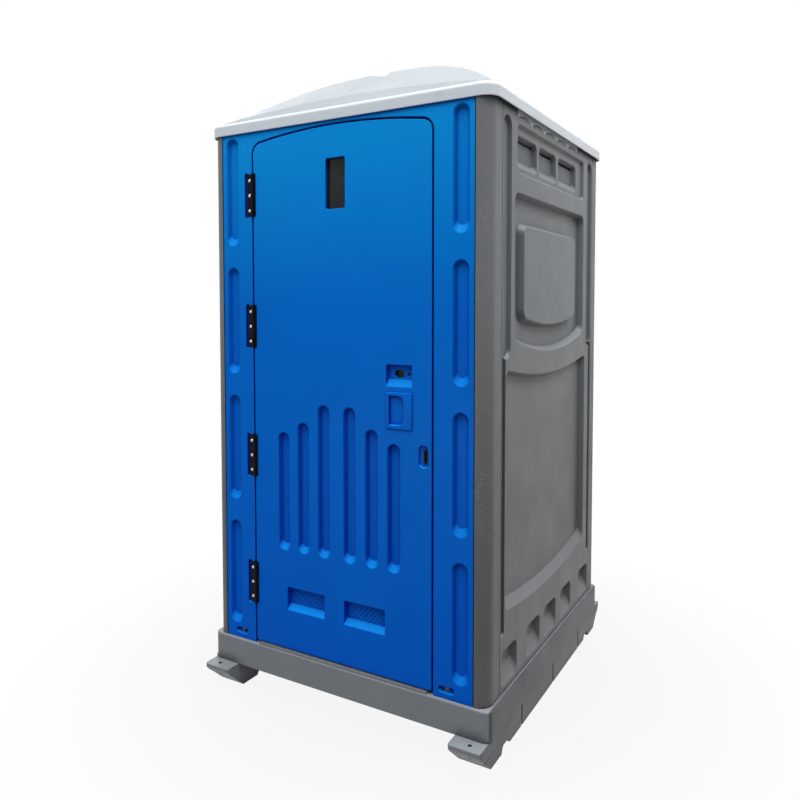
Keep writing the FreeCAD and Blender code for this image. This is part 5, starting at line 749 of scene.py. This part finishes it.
def tube(name, line, radii, around):
    """Closed tube along a line, whose rings take the radii in turn."""
    work = bmesh.new()
    side = (line[1] - line[0]).orthogonal().normalized()
    rings = []
    for index, point in enumerate(line):
        before = line[max(index - 1, 0)]
        after = line[min(index + 1, len(line) - 1)]
        run = (after - before).normalized()
        side = (side - run * side.dot(run)).normalized()
        other = run.cross(side)
        radius = radii[index % len(radii)]
        ring = []
        for step in range(around):
            angle = 2 * math.pi * step / around
            spoke = side * math.cos(angle) + other * math.sin(angle)
            ring.append(work.verts.new(point + spoke * radius))
        rings.append(ring)
    for first, second in zip(rings, rings[1:]):
        for step in range(around):
            nxt = (step + 1) % around
            work.faces.new((first[step], first[nxt], second[nxt], second[step]))
    work.faces.new(list(reversed(rings[0])))
    work.faces.new(rings[-1])
    bmesh.ops.recalc_face_normals(work, faces=work.faces)
    mesh = bpy.data.meshes.new(name)
    work.to_mesh(mesh)
    work.free()
    obj = bpy.data.objects.new(name, mesh)
    bpy.context.scene.collection.objects.link(obj)
    return obj


def smooth_by_angle(obj, angle):
    pick(obj)
    bpy.ops.object.shade_smooth_by_angle(angle=math.radians(angle))


class CABIN_OT_stage(bpy.types.Operator):
    """Lay the pale floor, hang the soft lights and stand the camera"""

    bl_idname = "cabin.stage"
    bl_label = "Stage and Camera"

    def execute(self, context):
        alone()
        bpy.ops.mesh.primitive_circle_add(
            vertices=96, radius=FLOOR_RADIUS, fill_type="NGON", location=(0, 0, FLOOR_LEVEL)
        )
        floor = context.object
        floor.name = "floor"
        bpy.ops.object.transform_apply(location=True, rotation=True, scale=True)
        floor.data.materials.append(self.floor_finish())
        for lamp in LAMPS:
            self.lamp(context.scene, *lamp)
        self.world(context.scene)
        self.camera(context.scene)
        context.scene.view_settings.view_transform = "Standard"
        return {"FINISHED"}

    def floor_finish(self):
        f = Finish("studio floor")
        body = f.mottled(f.noise(30.0, 4.0, 0.6), *FLOOR_GREYS)
        f.set(Base_Color=body, Roughness=0.7, Specular_IOR_Level=0.1)
        away = f.node("ShaderNodeVectorMath", {0: f.place}, operation="LENGTH").outputs["Value"]
        share = f.maths("MULTIPLY", f.ranged(away, *FLOOR_FADE, FLOOR_START, 1.0), f.seen())
        glow = f.node("ShaderNodeEmission", {"Color": WHITE, "Strength": 1.0}).outputs[0]
        surface = f.blended(share, f.shader.outputs[0], glow)
        f.links.new(surface, f.nodes["Material Output"].inputs["Surface"])
        return f.material

    def lamp(self, scene, name, place, aim, size, power, colour):
        light = bpy.data.lights.new(name, "AREA")
        light.shape = "SQUARE"
        light.size = size
        light.energy = power
        light.color = colour
        obj = bpy.data.objects.new(name, light)
        obj.location = place
        obj.rotation_euler = (Vector(aim) - Vector(place)).to_track_quat("-Z", "Y").to_euler()
        scene.collection.objects.link(obj)

    def world(self, scene):
        """A dim sky, brighter overhead and on its bright side, which the camera sees as white."""
        scene.world = bpy.data.worlds.new("studio")
        scene.world.use_nodes = True
        g = Graph(scene.world.node_tree)
        g.nodes.clear()
        way = g.nodes.new("ShaderNodeTexCoord").outputs["Generated"]
        steep = g.maths("POWER", g.maths("MAXIMUM", g.along("Z", way), 0.0), 2.0, clamp=True)
        horizon = g.ranged(g.dot(way, BRIGHT_SIDE), -1.0, 1.0, DIM_LEVEL, BRIGHT_LEVEL)
        level = g.ranged(steep, 0.0, 1.0, horizon, ZENITH_LEVEL)
        light = g.node("ShaderNodeBackground", {"Color": SKY_COLOUR, "Strength": level}).outputs[0]
        white = g.node("ShaderNodeBackground", {"Color": WHITE, "Strength": 1.0}).outputs[0]
        g.node("ShaderNodeOutputWorld", {"Surface": g.blended(g.seen(), light, white)})

    def camera(self, scene):
        lens = bpy.data.cameras.new("photo camera")
        lens.sensor_width = CAMERA_SENSOR
        lens.lens = CAMERA_LENS
        lens.shift_x, lens.shift_y = CAMERA_SHIFT
        lens.clip_start, lens.clip_end = CAMERA_CLIP
        obj = bpy.data.objects.new("photo camera", lens)
        obj.location = CAMERA_PLACE
        obj.rotation_mode = "XYZ"
        turn = Matrix.Rotation(math.radians(CAMERA_TURN), 4, "Z")
        tilt = Matrix.Rotation(math.radians(CAMERA_TILT), 4, "X")
        roll = Matrix.Rotation(math.radians(CAMERA_ROLL), 4, "Z")
        obj.rotation_euler = (turn @ tilt @ roll).to_euler()
        scene.collection.objects.link(obj)
        scene.camera = obj


class CABIN_OT_hoses(bpy.types.Operator):
    """Run the two ribbed drain hoses"""

    bl_idname = "cabin.hoses"
    bl_label = "Hoses"

    def execute(self, context):
        sizes = context.scene.cabin_sizes
        rubber = ribbed_hose("hose rubber")
        radii = [sizes.hose_bore / 2 - depth for depth in HOSE_RINGS]
        for node, route in (("urinal_hose", URINAL_ROUTE), ("basin_hose", BASIN_ROUTE)):
            line = evenly(smooth_line(node, route), sizes.hose_rib / len(HOSE_RINGS))
            piece = tube(node + "_ribbed", line, radii, HOSE_SIDES)
            smooth_by_angle(piece, HOSE_CREASE)
            settle(piece, "cabin", "hose_grey", rubber, node)
        return {"FINISHED"}


class CABIN_OT_feet(bpy.types.Operator):
    """Fill the outer side of each lashing foot down to the ground"""

    bl_idname = "cabin.feet"
    bl_label = "Foot Cheeks"

    def execute(self, context):
        finish = NODES["skid_right"].material_slots[0].material
        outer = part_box("skid_right")[1][0]
        for side, side_name in ((-1, "left"), (1, "right")):
            for end, end_name in ((-1, "front"), (1, "rear")):
                piece = self.cheek(f"foot_cheek_{side_name}_{end_name}", side, end, outer)
                settle(piece, "cabin", "base_grey", finish)
        return {"FINISHED"}

    def cheek(self, name, side, end, outer):
        inner = outer - CHEEK_WIDTH
        nose, tip = CHEEK_NOSE
        corners = (
            (side * inner, end * CHEEK_START, 0.0),
            (side * outer, end * tip, CHEEK_HEIGHT),
        )
        piece = block(name, Vector(tuple(map(min, *corners))), Vector(tuple(map(max, *corners))))
        edit(piece)
        self.trim((side * inner, 0.0, 0.0), (-side * CHEEK_HEIGHT, 0.0, CHEEK_WIDTH))
        self.trim((0.0, end * nose, 0.0), (0.0, end * CHEEK_NOSE_HEIGHT, nose - tip))

        def on_rim(edge):
            return all(
                abs(point.x) > outer - TOUCH and (point.z < TOUCH or abs(point.y) > nose - TOUCH)
                for point in (vertex.co for vertex in edge.verts)
            )

        round_edges(piece, CHEEK_ROUND, EDGE_FACETS, on_rim)
        bpy.ops.mesh.select_all(action="SELECT")
        bpy.ops.mesh.normals_make_consistent(inside=False)
        leave()
        smooth_by_angle(piece, CHEEK_CREASE)
        return piece

    def trim(self, place, away):
        """Cuts off what lies beyond a plane, on the side that away points to."""
        bpy.ops.mesh.select_mode(type="EDGE")
        bpy.ops.mesh.select_all(action="SELECT")
        facing = Vector(away).normalized()
        bpy.ops.mesh.bisect(plane_co=place, plane_no=facing, use_fill=True, clear_outer=True)


class CABIN_OT_pull(bpy.types.Operator):
    """Make the finger pull, with a cup that is straight on its left and round on its right"""

    bl_idname = "cabin.pull"
    bl_label = "Finger Pull"

    def execute(self, context):
        low, high = (Vector(corner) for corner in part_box("pull_plate"))
        left, right, top, bottom = CUP_MARGINS
        cup_low = Vector((low.x + left, low.y - PULL_PLATE, low.z + bottom))
        cup_high = Vector((high.x - right, low.y + CUP_DEPTH, high.z - top))
        skin = Vector((CUP_SKIN, CUP_SKIN, CUP_SKIN))
        back_low = cup_low - skin
        back_low.y = low.y + PULL_PLATE / 2

        def in_front(edge):
            return all(vertex.co.y < low.y + TOUCH for vertex in edge.verts)

        def on_right(edge):
            first, second = (vertex.co for vertex in edge.verts)
            return min(first.x, second.x) > cup_high.x - TOUCH and abs(first.y - second.y) > TOUCH

        def at_ledge(vertex):
            return vertex.co.y > cup_high.y - TOUCH and vertex.co.z < cup_low.z + TOUCH

        plate = block("finger_pull", low, Vector((high.x, low.y + PULL_PLATE, high.z)))
        edit(plate)
        round_edges(plate, PULL_EDGE, EDGE_FACETS, in_front)
        leave()
        back = block("pull_back", back_low, cup_high + skin)
        cup = block("pull_cup", cup_low, cup_high)
        edit(cup)
        choose(cup, "VERT", at_ledge)
        bpy.ops.transform.translate(value=(0.0, 0.0, CUP_LEDGE))
        round_edges(cup, CUP_ROUND, CUP_FACETS, on_right)
        leave()
        combine(plate, back, "UNION")
        combine(plate, cup, "DIFFERENCE")
        smooth_by_angle(plate, FINE_CREASE)
        settle(plate, "door", "body_blue", NODES["pull_plate"].material_slots[0].material, "pull_plate")
        return {"FINISHED"}


class CABIN_OT_roll(bpy.types.Operator):
    """Wind the paper roll, with its loose end close to the layers below"""

    bl_idname = "cabin.roll"
    bl_label = "Paper Roll"

    def execute(self, context):
        low, high = (Vector(corner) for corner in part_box("paper_roll"))
        middle = (low + high) / 2
        outer = (high.z - low.z) / 2 - ROLL_SLACK
        alone()
        bpy.ops.mesh.primitive_cylinder_add(
            vertices=ROLL_FACETS,
            radius=outer,
            depth=high.y - low.y - 2 * ROLL_STAGGER,
            location=middle,
            rotation=(math.pi / 2, 0.0, 0.0),
        )
        roll = context.object
        roll.name = "wound_roll"
        bpy.ops.object.transform_apply(location=True, rotation=True, scale=True)
        edit(roll)
        choose(roll, "FACE", lambda face: abs(face.normal.y) > FACING)
        layers = context.scene.cabin_sizes.roll_layers
        for layer in range(layers):
            step = ROLL_STAGGER if layer % 2 else -ROLL_STAGGER
            bpy.ops.mesh.inset(thickness=(outer - ROLL_BORE) / layers, depth=step)
        bpy.ops.mesh.bridge_edge_loops()
        facet = 360.0 / ROLL_FACETS

        def angle_of(point):
            return math.degrees(math.atan2(point.z - middle.z, point.x - middle.x)) % 360.0

        def on_sheet(face):
            first, last = ROLL_SHEET
            spot = face.calc_center_median()
            outside = abs(face.normal.y) < 1.0 - FACING and (spot - middle).xz.length > outer * 0.95
            return outside and first < angle_of(spot) < last

        choose(roll, "FACE", on_sheet)
        thicken = {"value": ROLL_SHEET_THICKNESS}
        bpy.ops.mesh.extrude_region_shrink_fatten(TRANSFORM_OT_shrink_fatten=thicken)
        for row, lift in enumerate(ROLL_SHEET_LIFTS):
            turn = ROLL_SHEET_END + row * facet

            def on_row(vertex):
                raised = (vertex.co - middle).xz.length - outer > 0.5 * ROLL_SHEET_THICKNESS
                return raised and abs(angle_of(vertex.co) - turn) < 0.4 * facet

            choose(roll, "VERT", on_row)
            way = math.radians(turn)
            bpy.ops.transform.translate(value=(lift * math.cos(way), 0.0, lift * math.sin(way)))
        leave()
        smooth_by_angle(roll, FINE_CREASE)
        settle(roll, "roll", "paper", tissue("crepe paper"), "paper_roll")
        return {"FINISHED"}


class CABIN_OT_finishes(bpy.types.Operator):
    """Give every moulded, metal and glazed part its finish"""

    bl_idname = "cabin.finishes"
    bl_label = "Finishes"

    def execute(self, context):
        colours = context.scene.cabin_colours
        edge = context.scene.cabin_sizes.edge_round
        wall = tuple(colours.wall)
        shaded_low_wall = tuple(colours.shaded_low_wall)
        wear_finish(
            ("door_panel", "front_frame", "pull_plate"),
            moulded(
                "blue polyethylene",
                tuple(colours.blue),
                0.42,
                edge,
                tuple(colours.shaded_low_blue),
                tuple(colours.lit_top_blue),
                hollow=GROOVE_SHADE_BLUE,
                specular=0.05,
            ),
        )
        wear_finish(
            ("side_wall_right", "side_wall_left", "rear_wall"),
            moulded(
                "wall polyethylene",
                wall,
                0.40,
                edge,
                shaded_low_wall,
                fade=WALL_FADE,
                specks=0.35,
                dust=0.15,
                ribs=True,
            ),
        )
        wear_finish(
            ("post_front_right", "post_front_left", "post_rear_right", "post_rear_left"),
            moulded(
                "post polyethylene",
                tint(wall, POST_TINT),
                0.40,
                edge,
                tint(shaded_low_wall, POST_TINT),
                fade=WALL_FADE,
                specks=0.75,
                dust=0.15,
            ),
        )
        wear_finish(
            ("base_tray", "skid_right", "skid_left"),
            moulded(
                "base polyethylene",
                tuple(colours.base),
                0.42,
                edge,
                specks=0.2,
                dust=0.15,
                side_shade=True,
            ),
        )
        wear_finish(
            ("roof", "vent_cap"),
            translucent_roof("roof polyethylene", tuple(colours.roof), edge),
        )
        wear_finish(
            ("vent_strip_right", "vent_strip_left"),
            moulded("strip polyethylene", (0.93, 0.94, 0.95), 0.4, 0.002, hollow_shade=0.0),
        )
        wear_finish(
            ("frame_hinge_leaves", "door_hinge_leaves", "hinge_pins"),
            powder_coat("black coat", (0.004, 0.004, 0.005), 0.42),
        )
        wear_finish(
            ("window_frame", "hasp_insert", "release_screw", "latch_knob", "latch_case", "inner_handle"),
            plain_plastic("black plastic", (0.010, 0.010, 0.011), 0.5, specular=0.2),
        )
        wear_finish(
            ("frame_hinge_rivets", "door_hinge_rivets", "case_screws"),
            sheet_metal("bright steel", (0.50, 0.51, 0.52), 0.30),
        )
        wear_finish(
            ("frame_bolts",),
            sheet_metal("blackened steel", (0.055, 0.06, 0.07), 0.36),
        )
        wear_finish(
            ("shell_rivets", "skid_bolts", "latch_keeper", "keeper_screws", "coat_hook"),
            sheet_metal("zinc plate", (0.42, 0.43, 0.45), 0.42),
        )
        wear_finish(("window_pane",), dark_glass("smoked pane"))
        wear_finish(
            ("door_sill", "foot_pump", "pump_pedal"),
            plain_plastic("sill plastic", (0.15, 0.155, 0.16), 0.6),
        )
        wear_finish(("latch_bolt",), plain_plastic("bolt plastic", (0.30, 0.31, 0.33), 0.35))
        wear_finish(
            ("waste_tank", "seat_chute", "water_tank"),
            moulded("tank polyethylene", (0.11, 0.115, 0.125), 0.5, 0.006),
        )
        wear_finish(
            ("seat_ring", "seat_lid", "basin", "urinal"),
            plain_plastic("seat white", (0.74, 0.74, 0.73), 0.28),
        )
        wear_finish(
            ("seat_hinge", "faucet"),
            sheet_metal("chrome", (0.75, 0.76, 0.78), 0.14),
        )
        wear_finish(
            ("vent_pipe", "paper_holder", "pump_pipe"),
            plain_plastic("pipe plastic", (0.24, 0.245, 0.25), 0.5),
        )
        wear_finish(("mirror_tray",), plain_plastic("tray plastic", (0.12, 0.125, 0.13), 0.5))
        wear_finish(("mirror",), silvered("mirror silver"))
        return {"FINISHED"}


class CABIN_PT_panel(bpy.types.Panel):
    """Tools that dress the cabin"""

    bl_idname = "CABIN_PT_panel"
    bl_label = "Portable Toilet Cabin"
    bl_space_type = "VIEW_3D"
    bl_region_type = "UI"
    bl_category = "Cabin"

    def draw(self, context):
        layout = self.layout
        for group in (context.scene.cabin_colours, context.scene.cabin_sizes):
            column = layout.column()
            for name in type(group).__annotations__:
                column.prop(group, name)
        column = layout.column()
        for operator in OPERATORS:
            column.operator(operator.bl_idname)


OPERATORS = (
    CABIN_OT_stage,
    CABIN_OT_finishes,
    CABIN_OT_feet,
    CABIN_OT_pull,
    CABIN_OT_hoses,
    CABIN_OT_roll,
)
CLASSES = (CabinColours, CabinSizes, *OPERATORS, CABIN_PT_panel)


def register():
    for item in CLASSES:
        bpy.utils.register_class(item)
    bpy.types.Scene.cabin_colours = PointerProperty(type=CabinColours)
    bpy.types.Scene.cabin_sizes = PointerProperty(type=CabinSizes)


def unregister():
    del bpy.types.Scene.cabin_sizes
    del bpy.types.Scene.cabin_colours
    for item in reversed(CLASSES):
        bpy.utils.unregister_class(item)


def main():
    register()
    bpy.ops.cabin.stage()
    bpy.ops.cabin.finishes()
    bpy.ops.cabin.feet()
    bpy.ops.cabin.pull()
    bpy.ops.cabin.hoses()
    bpy.ops.cabin.roll()


if __name__ == "__main__":
    main()
